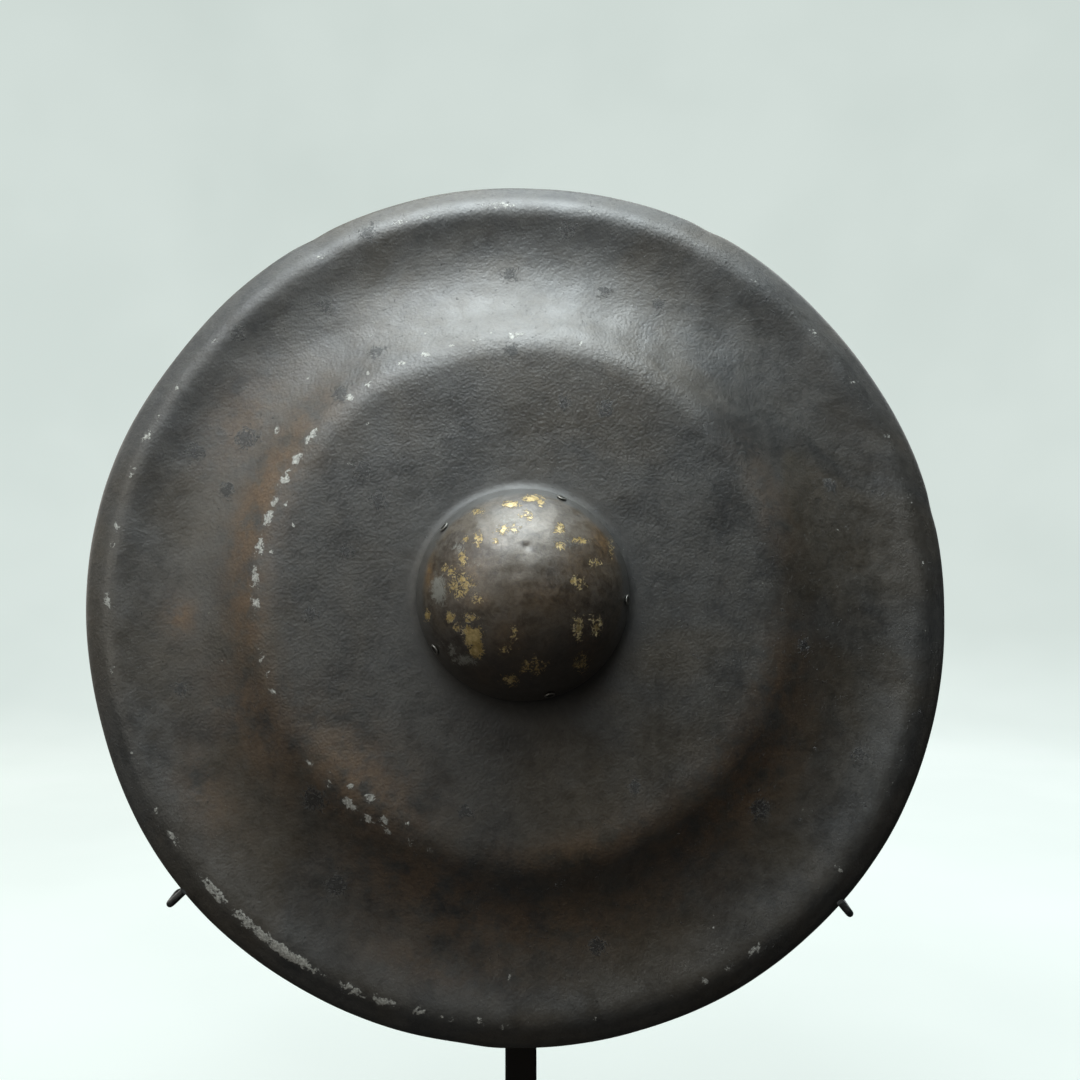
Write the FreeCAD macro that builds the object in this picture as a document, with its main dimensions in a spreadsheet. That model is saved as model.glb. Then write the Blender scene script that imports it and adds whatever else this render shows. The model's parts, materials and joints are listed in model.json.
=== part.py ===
import FreeCAD, Part

import math
import os

import Sketcher

# A bossed gong of hammered iron with a riveted brass boss, standing on a black steel stand.
#
# World frame: millimetres, +Z up, the gong faces -Y, +X is on the right of somebody who
# faces the gong. The origin is the middle of the felt underside that rests on the table.
#
# Two tilted frames follow the gong, which leans back by the lean angle:
#   gong frame    Z is the gong's axis, forward through the boss, Y is up in its plane,
#                 and the origin lies in the plane of the rim's rear edge;
#   leaning frame Z is up along the post, Y is to the rear, square to the gong's plane.

doc = FreeCAD.newDocument("BossedGong")
sheet = doc.addObject("Spreadsheet::Sheet", "Sizes")

SIZES = [
    # the gong: a dished plate with a turned-back rim, heights are above the rear edge
    ("lean_angle", 6.5),
    ("shoulder_corner_radius", 250.75),
    ("gong_wall", 2.0),
    ("rim_rear_radius", 243.0),
    ("shoulder_round", 13.0),
    ("crest_radius", 232.0),
    ("crest_rise", 67.5),
    ("crest_round", 12.0),
    ("trough_radius", 187.0),
    ("trough_rise", 59.0),
    ("trough_round", 80.0),
    ("ridge_radius", 143.0),
    ("ridge_rise", 87.0),
    ("ridge_round", 35.0),
    ("plateau_rise", 89.0),
    ("collar_foot_round", 7.5),
    ("collar_height", 17.0),
    # the boss cap: a dome that runs out into a cone, which sits over the plate's collar
    ("cap_slope", 65.0),
    ("cap_edge_radius", 57.6),
    ("cap_edge_rise", 93.6),
    ("cap_dome_radius", 60.0),
    ("cap_wall", 1.5),
    ("cap_gap", 0.05),
    # five rivets through the cap's skirt and the collar
    ("rivet_count", 5.0),
    ("rivet_start_angle", 68.2),
    ("rivet_rise", 98.2),
    ("rivet_shank_radius", 1.5),
    ("rivet_hole_radius", 1.53),
    ("rivet_head_radius", 3.2),
    ("rivet_head_height", 1.0),
    ("rivet_head_crown", 0.3),
    ("rivet_shoulder_share", 0.6),
    ("rivet_set_gap", 0.12),
    # two holes in the rim for a hanging cord
    ("cord_hole_radius", 4.0),
    ("cord_hole_angle", 22.0),
    ("cord_hole_rise", 26.0),
    # holes drilled square through a sheet: how far in the drill starts, how long it is
    ("drill_deep", 6.0),
    ("drill_long", 12.0),
    # how far a cut runs past the faces that it goes through
    ("overcut", 1.0),
    # where the gong stands: its widest plane's centre
    ("gong_centre_back", -20.0),
    ("gong_centre_up", 353.0),
    ("widest_rise", 56.0),
    # base plate and its felt
    ("felt_thick", 2.0),
    ("felt_inset", 2.0),
    ("base_wide", 240.0),
    ("base_long", 180.0),
    ("base_thick", 8.0),
    ("base_corner", 8.0),
    ("base_edge_bevel", 1.0),
    ("foot_access_radius", 9.5),
    # post of square tube, its foot plug, foot screw and top cap
    ("post_wide", 19.0),
    ("post_wall", 1.5),
    ("post_corner", 1.8),
    ("post_behind", 77.5),
    ("post_top", 256.0),
    ("plug_gap", 0.05),
    ("plug_long", 30.0),
    ("foot_screw_radius", 4.0),
    ("foot_screw_long", 24.0),
    ("foot_screw_head_radius", 8.0),
    ("foot_screw_head_height", 4.4),
    ("foot_screw_hole_radius", 4.2),
    ("foot_screw_key", 5.0),
    ("foot_screw_key_deep", 2.6),
    ("foot_screw_sink_gap", 0.2),
    ("foot_thread_start", 4.0),
    ("thread_gap", 0.03),
    ("cap_thick", 2.5),
    ("cap_skirt_long", 8.0),
    ("cap_bevel", 0.8),
    # flat bars across the post: the hook bar below, the rest bar above
    ("bar_thick", 5.0),
    ("bar_round", 1.0),
    ("hook_bar_half", 198.0),
    ("hook_bar_tall", 25.0),
    ("hook_bolt_spread", 6.5),
    ("rest_bar_half", 36.0),
    ("rest_bar_tall", 22.0),
    ("rest_bar_up", 238.0),
    # through bolts of the bars, with washers and nuts behind the post
    ("bolt_radius", 2.5),
    ("bolt_long", 30.5),
    ("bolt_hole_radius", 2.6),
    ("bolt_head_radius", 4.75),
    ("bolt_head_height", 2.75),
    ("bolt_key", 3.0),
    ("bolt_key_deep", 1.5),
    ("bolt_face_share", 0.6),
    ("bolt_shoulder_share", 0.9),
    ("bolt_shoulder_rise", 0.55),
    ("washer_radius", 5.0),
    ("washer_thick", 1.0),
    ("nut_flats", 8.0),
    ("nut_thick", 4.0),
    # rubber bumpers that the rear rim leans on
    ("bumper_radius", 8.0),
    ("bumper_long", 6.6),
    ("bumper_round", 1.2),
    ("bumper_side", 26.0),
    # hook rods, held in the hook bar by two nuts each
    ("rod_radius", 2.0),
    ("rod_hole_radius", 2.1),
    ("rod_rear_radius", 252.4),
    ("rod_rear_angle", 42.0),
    ("rod_tail", 20.0),
    ("rod_nut_flats", 7.0),
    ("rod_nut_thick", 3.2),
]

for row, (name, number) in enumerate(SIZES, start=1):
    sheet.set("A%d" % row, name)
    sheet.set("B%d" % row, repr(number))
    sheet.setAlias("B%d" % row, name)
doc.recompute()


def size(name):
    """The number in the sheet's cell of that alias."""
    return float(sheet.get(name))


LEAN = math.radians(size("lean_angle"))
GONG_CENTRE = FreeCAD.Vector(0, size("gong_centre_back"), size("gong_centre_up"))
UP_PLANE = FreeCAD.Vector(0, math.sin(LEAN), math.cos(LEAN))
FORWARD = FreeCAD.Vector(0, -math.cos(LEAN), math.sin(LEAN))
X_AXIS = FreeCAD.Vector(1, 0, 0)
SUBPARTS = []


def gong_frame():
    """Placement of the gong frame, its origin in the plane of the rim's rear edge."""
    turn = FreeCAD.Rotation(X_AXIS, 90 - size("lean_angle"))
    return FreeCAD.Placement(GONG_CENTRE - FORWARD * size("widest_rise"), turn)


def leaning_frame(aside, up, behind):
    """Placement of a leaning frame at a point given from the gong's centre."""
    turn = FreeCAD.Rotation(X_AXIS, -size("lean_angle"))
    point = GONG_CENTRE + X_AXIS * aside + UP_PLANE * up - FORWARD * behind
    return FreeCAD.Placement(point, turn)


def new_body(label, placement):
    body = doc.addObject("PartDesign::Body", "Body_" + label)
    body.Label = label
    body.Placement = placement
    SUBPARTS.append(body)
    return body


def origin_item(body, role):
    return next(item for item in body.Origin.OriginFeatures if item.Role == role)


def new_sketch(body, role, name):
    sketch = body.newObject("Sketcher::SketchObject", name)
    sketch.AttachmentSupport = (origin_item(body, role), "")
    sketch.MapMode = "FlatFace"
    return sketch


def expression_value(text):
    """Value of an expression that only uses the sheet's aliases and arithmetic."""
    holder = doc.addObject("App::FeaturePython", "Reading")
    holder.addProperty("App::PropertyFloat", "Result")
    holder.setExpression("Result", text)
    holder.recompute()
    result = holder.Result
    doc.removeObject(holder.Name)
    return result


def bind_coordinate(sketch, kind, curve, end, text):
    """Hold one coordinate of a sketch point at an expression, zero meaning on the axis."""
    if text == "0":
        axis = -2 if kind == "DistanceX" else -1
        sketch.addConstraint(Sketcher.Constraint("PointOnObject", curve, end, axis))
        return
    negative = text.startswith("-")
    positive_text = text[1:] if negative else text
    value = expression_value(positive_text)
    first = (curve, end, -1, 1) if negative else (-1, 1, curve, end)
    number = sketch.addConstraint(Sketcher.Constraint(kind, *first, value))
    sketch.setExpression("Constraints[%d]" % number, positive_text)


def coordinate(text):
    return -expression_value(text[1:]) if text.startswith("-") else expression_value(text)


def closed_outline(sketch, corners):
    """A closed outline of straight sides with its corners held at sheet expressions."""
    points = [FreeCAD.Vector(coordinate(x), coordinate(y), 0) for x, y in corners]
    first = sketch.GeometryCount
    count = len(points)
    for index, point in enumerate(points):
        sketch.addGeometry(Part.LineSegment(point, points[(index + 1) % count]))
    for index in range(count):
        after = first + (index + 1) % count
        sketch.addConstraint(Sketcher.Constraint("Coincident", first + index, 2, after, 1))
    for index, (x, y) in enumerate(corners):
        bind_coordinate(sketch, "DistanceX", first + index, 1, x)
        bind_coordinate(sketch, "DistanceY", first + index, 1, y)


def circle(sketch, x, y, radius):
    centre = FreeCAD.Vector(coordinate(x), coordinate(y), 0)
    number = sketch.addGeometry(
        Part.Circle(centre, FreeCAD.Vector(0, 0, 1), expression_value(radius)))
    bind_coordinate(sketch, "DistanceX", number, 3, x)
    bind_coordinate(sketch, "DistanceY", number, 3, y)
    hold = sketch.addConstraint(Sketcher.Constraint("Radius", number, expression_value(radius)))
    sketch.setExpression("Constraints[%d]" % hold, radius)


def rectangle(sketch, half_x, low_y, high_y):
    closed_outline(sketch, [("-" + half_x, low_y), (half_x, low_y),
                            (half_x, high_y), ("-" + half_x, high_y)])


def hexagon(sketch, flats):
    """A hexagon about the sketch's origin, with two corners on its X axis."""
    corners = []
    for x, y in (("2", "0"), ("1", "1"), ("-1", "1"), ("-2", "0"), ("-1", "-1"), ("1", "-1")):
        x_text = x.replace("2", flats + " / sqrt(3)").replace("1", flats + " / (2 * sqrt(3))")
        y_text = y.replace("1", flats + " / 2")
        corners.append((x_text, y_text))
    closed_outline(sketch, corners)


def pad(body, sketch, length, name, reverse=False, both=False):
    feature = body.newObject("PartDesign::Pad", name)
    feature.Profile = sketch
    feature.setExpression("Length", length)
    feature.Reversed = reverse
    feature.Midplane = both
    doc.recompute()
    return feature


def pocket(body, sketch, name, length=None, reverse=False, both=False):
    """A pocket, through the whole body or to a length, which has to remove material."""
    before = body.Shape.Volume
    feature = body.newObject("PartDesign::Pocket", name)
    feature.Profile = sketch
    feature.Reversed = reverse
    feature.Midplane = both
    if length is None:
        feature.Type = "ThroughAll"
    else:
        feature.setExpression("Length", length)
    doc.recompute()
    if not feature.Shape.Volume < before:
        raise RuntimeError(name + " cuts nothing")
    return feature


def revolve(body, sketch, name):
    feature = body.newObject("PartDesign::Revolution", name)
    feature.Profile = sketch
    feature.ReferenceAxis = (sketch, ["V_Axis"])
    feature.Angle = 360
    doc.recompute()
    return feature


def ring_edges(shape, radius, height):
    """Names of the full circles of that radius and height about the Z axis."""
    names = []
    for number, edge in enumerate(shape.Edges, start=1):
        curve = edge.Curve
        if not isinstance(curve, Part.Circle):
            continue
        if abs(curve.Radius - radius) < 0.01 and abs(curve.Center.z - height) < 0.01:
            names.append("Edge%d" % number)
    return names


def round_edges(body, base, edges, radius, name, kind="Fillet"):
    feature = body.newObject("PartDesign::" + kind, name)
    feature.Base = (base, edges)
    feature.setExpression("Radius" if kind == "Fillet" else "Size", radius)
    doc.recompute()
    return feature


def edges_where(shape, test):
    return ["Edge%d" % number for number, edge in enumerate(shape.Edges, start=1) if test(edge)]


def cut_cylinder(body, name, radius, length, placement):
    """A drilled hole: a cylinder about its own Z axis, taken out of the body."""
    before = body.Shape.Volume
    drill = body.newObject("PartDesign::SubtractiveCylinder", name)
    drill.setExpression("Radius", radius)
    drill.setExpression("Height", length)
    drill.Placement = placement
    doc.recompute()
    if not drill.Shape.Volume < before:
        raise RuntimeError(name + " cuts nothing")
    return drill


def ring_of(body, feature, count, name):
    """A polar pattern of one feature about the body's Z axis."""
    pattern = body.newObject("PartDesign::PolarPattern", name)
    pattern.Originals = [feature]
    pattern.Axis = (origin_item(body, "Z_Axis"), [""])
    pattern.Angle = 360
    pattern.setExpression("Occurrences", count)
    body.Tip = pattern
    doc.recompute()
    return pattern


# ---------------------------------------------------------------- the gong

# The collar is a cone parallel to the cap's skirt, one cap wall and a gap inside it.
COLLAR_OFFSET = "(Sizes.cap_wall + Sizes.cap_gap) / sin(Sizes.cap_slope * 1deg)"


def skirt_radius(rise, inset):
    """Expression for the radius of the skirt's cone at a height, moved inward by inset."""
    return ("Sizes.cap_edge_radius - %s - (%s - Sizes.cap_edge_rise) / tan(Sizes.cap_slope * 1deg)"
            % (inset, rise))


def rivet_placement(number, depth):
    """Placement on the skirt's outer cone, Z pointing out of it, sunk by a depth."""
    slope = math.radians(size("cap_slope"))
    around = math.radians(size("rivet_start_angle") + number * 360 / size("rivet_count"))
    out = FreeCAD.Vector(math.cos(around), math.sin(around), 0)
    normal = out * math.sin(slope) + FreeCAD.Vector(0, 0, math.cos(slope))
    radius = expression_value(skirt_radius("Sizes.rivet_rise", "0"))
    point = out * radius + FreeCAD.Vector(0, 0, size("rivet_rise")) - normal * depth
    return FreeCAD.Placement(point, FreeCAD.Rotation(FreeCAD.Vector(0, 0, 1), normal))


def offset_corners(points, distance):
    """Corners of an open run of straight sides, moved to its right by a distance."""
    sides = []
    for start, end in zip(points, points[1:]):
        along = (end - start).normalize()
        right = FreeCAD.Vector(along.y, -along.x, 0)
        sides.append((start + right * distance, along))
    moved = [sides[0][0]]
    for (point, along), (other, ahead) in zip(sides, sides[1:]):
        gap = other - point
        reach = (gap.x * ahead.y - gap.y * ahead.x) / (along.x * ahead.y - along.y * ahead.x)
        moved.append(point + along * reach)
    moved.append(points[-1] + (sides[-1][0] - points[-2]))
    return moved


def level_end(point, before, height):
    """The point at that height on the line through two points."""
    share = (height - before.y) / (point.y - before.y)
    return before + (point - before) * share


def wall_outline(sketch, corners, wall):
    """Section of a sheet: its front face's corners, and its back face one wall behind."""
    front = [FreeCAD.Vector(coordinate(x), coordinate(y), 0) for x, y in corners]
    back = offset_corners(front, -expression_value(wall))
    back[0] = level_end(back[0], back[1], front[0].y)
    back[-1] = level_end(back[-1], back[-2], front[-1].y)
    points = front + back[::-1]
    count = len(points)
    for index, point in enumerate(points):
        sketch.addGeometry(Part.LineSegment(point, points[(index + 1) % count]))
    for index in range(count):
        after = (index + 1) % count
        sketch.addConstraint(Sketcher.Constraint("Coincident", index, 2, after, 1))
    for index, (x, y) in enumerate(corners):
        bind_coordinate(sketch, "DistanceX", index, 1, x)
        bind_coordinate(sketch, "DistanceY", index, 1, y)
    sides = len(corners) - 1
    for index in range(sides):
        twin = count - 2 - index
        sketch.addConstraint(Sketcher.Constraint("Parallel", index, twin))
        number = sketch.addConstraint(
            Sketcher.Constraint("Distance", twin, 1, index, expression_value(wall)))
        sketch.setExpression("Constraints[%d]" % number, wall)
    sketch.addConstraint(Sketcher.Constraint("Horizontal", sides))
    sketch.addConstraint(Sketcher.Constraint("Horizontal", count - 1))
    doc.recompute()
    return front, back


def make_gong_plate():
    """Rim wall, shoulder, dish, step, plateau and the upturned collar under the boss."""
    body = new_body("gong_plate", gong_frame())
    collar_top = "(Sizes.plateau_rise + Sizes.collar_height)"
    corners = [
        ("Sizes.rim_rear_radius", "0"),
        ("Sizes.shoulder_corner_radius", "Sizes.widest_rise"),
        ("Sizes.crest_radius", "Sizes.crest_rise"),
        ("Sizes.trough_radius", "Sizes.trough_rise"),
        ("Sizes.ridge_radius", "Sizes.ridge_rise"),
        (skirt_radius("Sizes.plateau_rise", COLLAR_OFFSET), "Sizes.plateau_rise"),
        (skirt_radius(collar_top, COLLAR_OFFSET), collar_top),
    ]
    outline = new_sketch(body, "XZ_Plane", "PlateSection")
    front, back = wall_outline(outline, corners, "Sizes.gong_wall")
    solid = revolve(body, outline, "PlateSolid")
    # corner number, rounding of the front face, and how the back face's rounding differs
    rounds = [
        (1, "Sizes.shoulder_round", "-"),
        (2, "Sizes.crest_round", "-"),
        (3, "Sizes.trough_round", "+"),
        (4, "Sizes.ridge_round", "-"),
        (5, "Sizes.collar_foot_round", "+"),
    ]
    for index, radius, change in rounds:
        for face, point, text in (
                ("Front", front[index], radius),
                ("Back", back[index], "%s %s Sizes.gong_wall" % (radius, change))):
            edges = ring_edges(solid.Shape, point.x, point.y)
            solid = round_edges(body, solid, edges, text, "%sRound%d" % (face, index))

    drill = cut_cylinder(body, "RivetHole", "Sizes.rivet_hole_radius", "Sizes.drill_long",
                         rivet_placement(0, size("drill_deep")))
    ring_of(body, drill, "Sizes.rivet_count", "RivetHoles")

    flare = size("shoulder_corner_radius") - size("rim_rear_radius")
    wall_tilt = math.atan2(flare, size("widest_rise"))
    wall_radius = size("rim_rear_radius") + size("cord_hole_rise") * math.tan(wall_tilt)
    around = math.radians(90 - size("cord_hole_angle"))
    out = FreeCAD.Vector(math.cos(around), math.sin(around), 0)
    normal = out * math.cos(wall_tilt) - FreeCAD.Vector(0, 0, math.sin(wall_tilt))
    surface = out * wall_radius + FreeCAD.Vector(0, 0, size("cord_hole_rise"))
    start = surface - normal * size("drill_deep")
    turn = FreeCAD.Rotation(FreeCAD.Vector(0, 0, 1), normal)
    hole = cut_cylinder(body, "CordHole", "Sizes.cord_hole_radius", "Sizes.drill_long",
                        FreeCAD.Placement(start, turn))
    twin = body.newObject("PartDesign::Mirrored", "CordHoles")
    twin.Originals = [hole]
    twin.MirrorPlane = (origin_item(body, "YZ_Plane"), [""])
    body.Tip = twin
    doc.recompute()


def make_boss_cap():
    """The dome and its skirt, drawn as two arcs and two straight sides a wall apart."""
    body = new_body("boss_cap", gong_frame())
    sketch = new_sketch(body, "XZ_Plane", "CapOutline")
    slope = math.radians(size("cap_slope"))
    dome = size("cap_dome_radius")
    wall = size("cap_wall")
    edge = FreeCAD.Vector(size("cap_edge_radius"), size("cap_edge_rise"), 0)
    out = FreeCAD.Vector(math.sin(slope), math.cos(slope), 0)
    joint_rise = edge.y + (edge.x - dome * out.x) * math.tan(slope)
    centre = FreeCAD.Vector(0, joint_rise - dome * out.y, 0)
    middle = FreeCAD.Vector(0, 0, 1)

    def arc(radius):
        whole = Part.Circle(centre, middle, radius)
        return Part.ArcOfCircle(whole, math.pi / 2 - slope, math.pi / 2)

    outer = sketch.addGeometry(arc(dome))
    inner = sketch.addGeometry(arc(dome - wall))
    outer_side = sketch.addGeometry(Part.LineSegment(edge, centre + out * dome))
    inner_side = sketch.addGeometry(
        Part.LineSegment(centre + out * (dome - wall), edge - out * wall))
    lip = sketch.addGeometry(Part.LineSegment(edge - out * wall, edge))
    axis = sketch.addGeometry(Part.LineSegment(
        centre + FreeCAD.Vector(0, dome, 0), centre + FreeCAD.Vector(0, dome - wall, 0)))
    for rule in [
        ("PointOnObject", outer, 3, -2),
        ("PointOnObject", outer, 2, -2),
        ("Coincident", outer, 3, inner, 3),
        ("PointOnObject", inner, 2, -2),
        ("Coincident", outer, 2, axis, 1),
        ("Coincident", inner, 2, axis, 2),
        ("Tangent", outer, 1, outer_side, 2),
        ("Tangent", inner, 1, inner_side, 1),
        ("Coincident", inner_side, 2, lip, 1),
        ("Coincident", lip, 2, outer_side, 1),
        ("Perpendicular", lip, outer_side),
    ]:
        sketch.addConstraint(Sketcher.Constraint(*rule))
    for rule, text in [
        (("Radius", outer, dome), "Sizes.cap_dome_radius"),
        (("Radius", inner, dome - wall), "Sizes.cap_dome_radius - Sizes.cap_wall"),
        (("DistanceX", -1, 1, outer_side, 1, edge.x), "Sizes.cap_edge_radius"),
        (("DistanceY", -1, 1, outer_side, 1, edge.y), "Sizes.cap_edge_rise"),
        (("DistanceY", -1, 1, outer, 3, centre.y),
         "Sizes.cap_edge_rise + (Sizes.cap_edge_radius - Sizes.cap_dome_radius"
         " / sin(Sizes.cap_slope * 1deg)) * tan(Sizes.cap_slope * 1deg)"),
    ]:
        number = sketch.addConstraint(Sketcher.Constraint(*rule))
        sketch.setExpression("Constraints[%d]" % number, text)
    revolve(body, sketch, "CapSolid")
    drill = cut_cylinder(body, "RivetHole", "Sizes.rivet_hole_radius", "Sizes.drill_long",
                         rivet_placement(0, size("drill_deep")))
    ring_of(body, drill, "Sizes.rivet_count", "RivetHoles")


def make_rivets():
    """Low round heads outside the skirt, a shank through both walls, a set head inside."""
    grip = "(Sizes.cap_wall + Sizes.cap_gap + Sizes.gong_wall + Sizes.rivet_set_gap)"
    shoulder = "Sizes.rivet_head_height * Sizes.rivet_shoulder_share"
    for number in range(int(size("rivet_count"))):
        placement = gong_frame().multiply(rivet_placement(number, 0))
        body = new_body("boss_rivet_%d" % (number + 1), placement)
        sketch = new_sketch(body, "XZ_Plane", "RivetOutline")
        crown = "Sizes.rivet_head_radius - Sizes.rivet_head_crown"
        closed_outline(sketch, [
            ("0", "-(%s + Sizes.rivet_head_height)" % grip),
            (crown, "-(%s + Sizes.rivet_head_height)" % grip),
            ("Sizes.rivet_head_radius", "-(%s + %s)" % (grip, shoulder)),
            ("Sizes.rivet_head_radius", "-" + grip),
            ("Sizes.rivet_shank_radius", "-" + grip),
            ("Sizes.rivet_shank_radius", "0"),
            ("Sizes.rivet_head_radius", "0"),
            ("Sizes.rivet_head_radius", shoulder),
            (crown, "Sizes.rivet_head_height"),
            ("0", "Sizes.rivet_head_height"),
        ])
        revolve(body, sketch, "RivetSolid")


# ---------------------------------------------------------------- base and post

FOOT_UP = "(Sizes.felt_thick + Sizes.base_thick)"


def foot_placement():
    """Leaning frame where the post's axis meets the top of the base plate."""
    behind = size("post_behind")
    foot_z = size("felt_thick") + size("base_thick")
    up = (foot_z - GONG_CENTRE.z + behind * math.sin(LEAN)) / math.cos(LEAN)
    return leaning_frame(0, up, behind)


def post_rise():
    """Expression for the height of the post's top above its foot, along its axis."""
    return ("(Sizes.post_top - (%s - Sizes.gong_centre_up + Sizes.post_behind"
            " * sin(Sizes.lean_angle * 1deg)) / cos(Sizes.lean_angle * 1deg))" % FOOT_UP)


def make_base_plate():
    body = new_body("base_plate", FreeCAD.Placement(
        FreeCAD.Vector(0, 0, size("felt_thick")), FreeCAD.Rotation()))
    sketch = new_sketch(body, "XY_Plane", "BaseOutline")
    rectangle(sketch, "Sizes.base_wide / 2", "-Sizes.base_long / 2", "Sizes.base_long / 2")
    solid = pad(body, sketch, "Sizes.base_thick", "BaseSolid")
    upright = edges_where(solid.Shape, lambda edge: edge.BoundBox.ZLength > 1)
    solid = round_edges(body, solid, upright, "Sizes.base_corner", "BaseCorners")
    thick = size("base_thick")
    top = edges_where(solid.Shape, lambda edge: edge.BoundBox.ZMin > thick - 0.01)
    round_edges(body, solid, top, "Sizes.base_edge_bevel", "BaseBevel", kind="Chamfer")
    foot = foot_placement().Base
    start = FreeCAD.Vector(0, foot.y, -size("overcut"))
    cut_cylinder(body, "ScrewHole", "Sizes.foot_screw_hole_radius",
                 "Sizes.base_thick + 2 * Sizes.overcut",
                 FreeCAD.Placement(start, FreeCAD.Rotation()))
    sink = body.newObject("PartDesign::SubtractiveCone", "ScrewSink")
    sink.setExpression("Radius1", "Sizes.foot_screw_head_radius + Sizes.foot_screw_sink_gap")
    sink.setExpression("Radius2", "Sizes.foot_screw_hole_radius")
    sink.setExpression("Height", "Sizes.foot_screw_head_height")
    sink.Placement = FreeCAD.Placement(FreeCAD.Vector(0, foot.y, 0), FreeCAD.Rotation())
    doc.recompute()


def make_base_felt():
    body = new_body("base_felt", FreeCAD.Placement())
    sketch = new_sketch(body, "XY_Plane", "FeltOutline")
    half_long = "(Sizes.base_long / 2 - Sizes.felt_inset)"
    rectangle(sketch, "(Sizes.base_wide / 2 - Sizes.felt_inset)", "-" + half_long, half_long)
    solid = pad(body, sketch, "Sizes.felt_thick", "FeltSheet")
    upright = edges_where(solid.Shape, lambda edge: edge.BoundBox.ZLength > 1)
    round_edges(body, solid, upright, "Sizes.base_corner - Sizes.felt_inset", "FeltCorners")
    start = FreeCAD.Vector(0, foot_placement().Base.y, -size("overcut"))
    cut_cylinder(body, "ScrewAccess", "Sizes.foot_access_radius",
                 "Sizes.felt_thick + 2 * Sizes.overcut",
                 FreeCAD.Placement(start, FreeCAD.Rotation()))


def level_foot(body):
    """Cut a leaning body's lower end level, so that it stands flat on the base plate."""
    wedge = new_sketch(body, "YZ_Plane", "LevelFoot")
    half_wide = "(Sizes.post_wide / 2 + Sizes.overcut)"
    rise = "%s * tan(Sizes.lean_angle * 1deg)" % half_wide
    closed_outline(wedge, [("-" + half_wide, "-" + half_wide), (half_wide, "-" + half_wide),
                           (half_wide, rise), ("-" + half_wide, "-" + rise)])
    pocket(body, wedge, "LevelCut", both=True)


def make_post():
    body = new_body("post", foot_placement())
    sketch = new_sketch(body, "XY_Plane", "TubeSection")
    half = "Sizes.post_wide / 2"
    rectangle(sketch, half, "-" + half, half)
    solid = pad(body, sketch, post_rise(), "TubeUpper")
    below = new_sketch(body, "XY_Plane", "TubeSectionBelow")
    rectangle(below, half, "-" + half, half)
    solid = pad(body, below, "Sizes.post_wide / 4", "TubeLower", reverse=True)
    upright = edges_where(solid.Shape, lambda edge: edge.BoundBox.ZLength > 10)
    round_edges(body, solid, upright, "Sizes.post_corner", "TubeCorners")
    level_foot(body)
    bore = new_sketch(body, "XY_Plane", "TubeBore")
    inner = "(Sizes.post_wide / 2 - Sizes.post_wall)"
    rectangle(bore, inner, "-" + inner, inner)
    pocket(body, bore, "TubeBoreCut", both=True)
    for name, up in bolt_heights().items():
        cut_cylinder(body, "BoltHole_" + name, "Sizes.bolt_hole_radius",
                     "Sizes.post_wide + 2 * Sizes.overcut", bolt_hole_placement(up))


def rod_tail_place():
    """How far aside of the gong's centre a rod's tail runs, and how far up its plane."""
    angle = math.radians(size("rod_rear_angle"))
    radius = size("rod_rear_radius")
    return radius * math.cos(angle), -radius * math.sin(angle)


def bolt_heights():
    """Heights of the three through bolts above the gong's centre, along its plane."""
    hook_bar_up = rod_tail_place()[1]
    spread = size("hook_bolt_spread")
    return {
        "hook_bar_bolt_upper": hook_bar_up + spread,
        "hook_bar_bolt_lower": hook_bar_up - spread,
        "rest_bar_bolt": size("rest_bar_up"),
    }


def bolt_hole_placement(up):
    """Where a through bolt crosses the post, in the post's own frame, Z to the rear."""
    foot = foot_placement()
    centre = foot.inverse().multVec(GONG_CENTRE + UP_PLANE * up - FORWARD * size("post_behind"))
    start = FreeCAD.Vector(0, -size("post_wide") / 2 - size("overcut"), centre.z)
    return FreeCAD.Placement(start, FreeCAD.Rotation(X_AXIS, -90))


def make_foot_plug():
    """A square plug that fills the tube's foot and takes the foot screw."""
    body = new_body("post_foot_plug", foot_placement())
    half = "(Sizes.post_wide / 2 - Sizes.post_wall - Sizes.plug_gap)"
    sketch = new_sketch(body, "XY_Plane", "PlugSection")
    rectangle(sketch, half, "-" + half, half)
    pad(body, sketch, "Sizes.plug_long", "PlugUpper")
    below = new_sketch(body, "XY_Plane", "PlugSectionBelow")
    rectangle(below, half, "-" + half, half)
    pad(body, below, "Sizes.post_wide / 4", "PlugLower", reverse=True)
    level_foot(body)
    upright = FreeCAD.Rotation(X_AXIS, size("lean_angle"))
    start = upright.multVec(FreeCAD.Vector(0, 0, -size("foot_thread_start")))
    cut_cylinder(body, "ScrewThread", "Sizes.foot_screw_radius + Sizes.thread_gap",
                 "Sizes.foot_screw_long", FreeCAD.Placement(start, upright))


def make_foot_screw():
    """A countersunk socket screw, from under the base plate up into the plug."""
    foot = foot_placement().Base
    body = new_body("foot_screw", FreeCAD.Placement(
        FreeCAD.Vector(0, foot.y, size("felt_thick")), FreeCAD.Rotation()))
    sketch = new_sketch(body, "XZ_Plane", "ScrewOutline")
    closed_outline(sketch, [
        ("0", "0"),
        ("Sizes.foot_screw_head_radius", "0"),
        ("Sizes.foot_screw_radius", "Sizes.foot_screw_head_height"),
        ("Sizes.foot_screw_radius", "Sizes.foot_screw_long"),
        ("0", "Sizes.foot_screw_long"),
    ])
    revolve(body, sketch, "ScrewSolid")
    key = new_sketch(body, "XY_Plane", "ScrewKey")
    hexagon(key, "Sizes.foot_screw_key")
    pocket(body, key, "ScrewKeyCut", "Sizes.foot_screw_key_deep", reverse=True)


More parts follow.
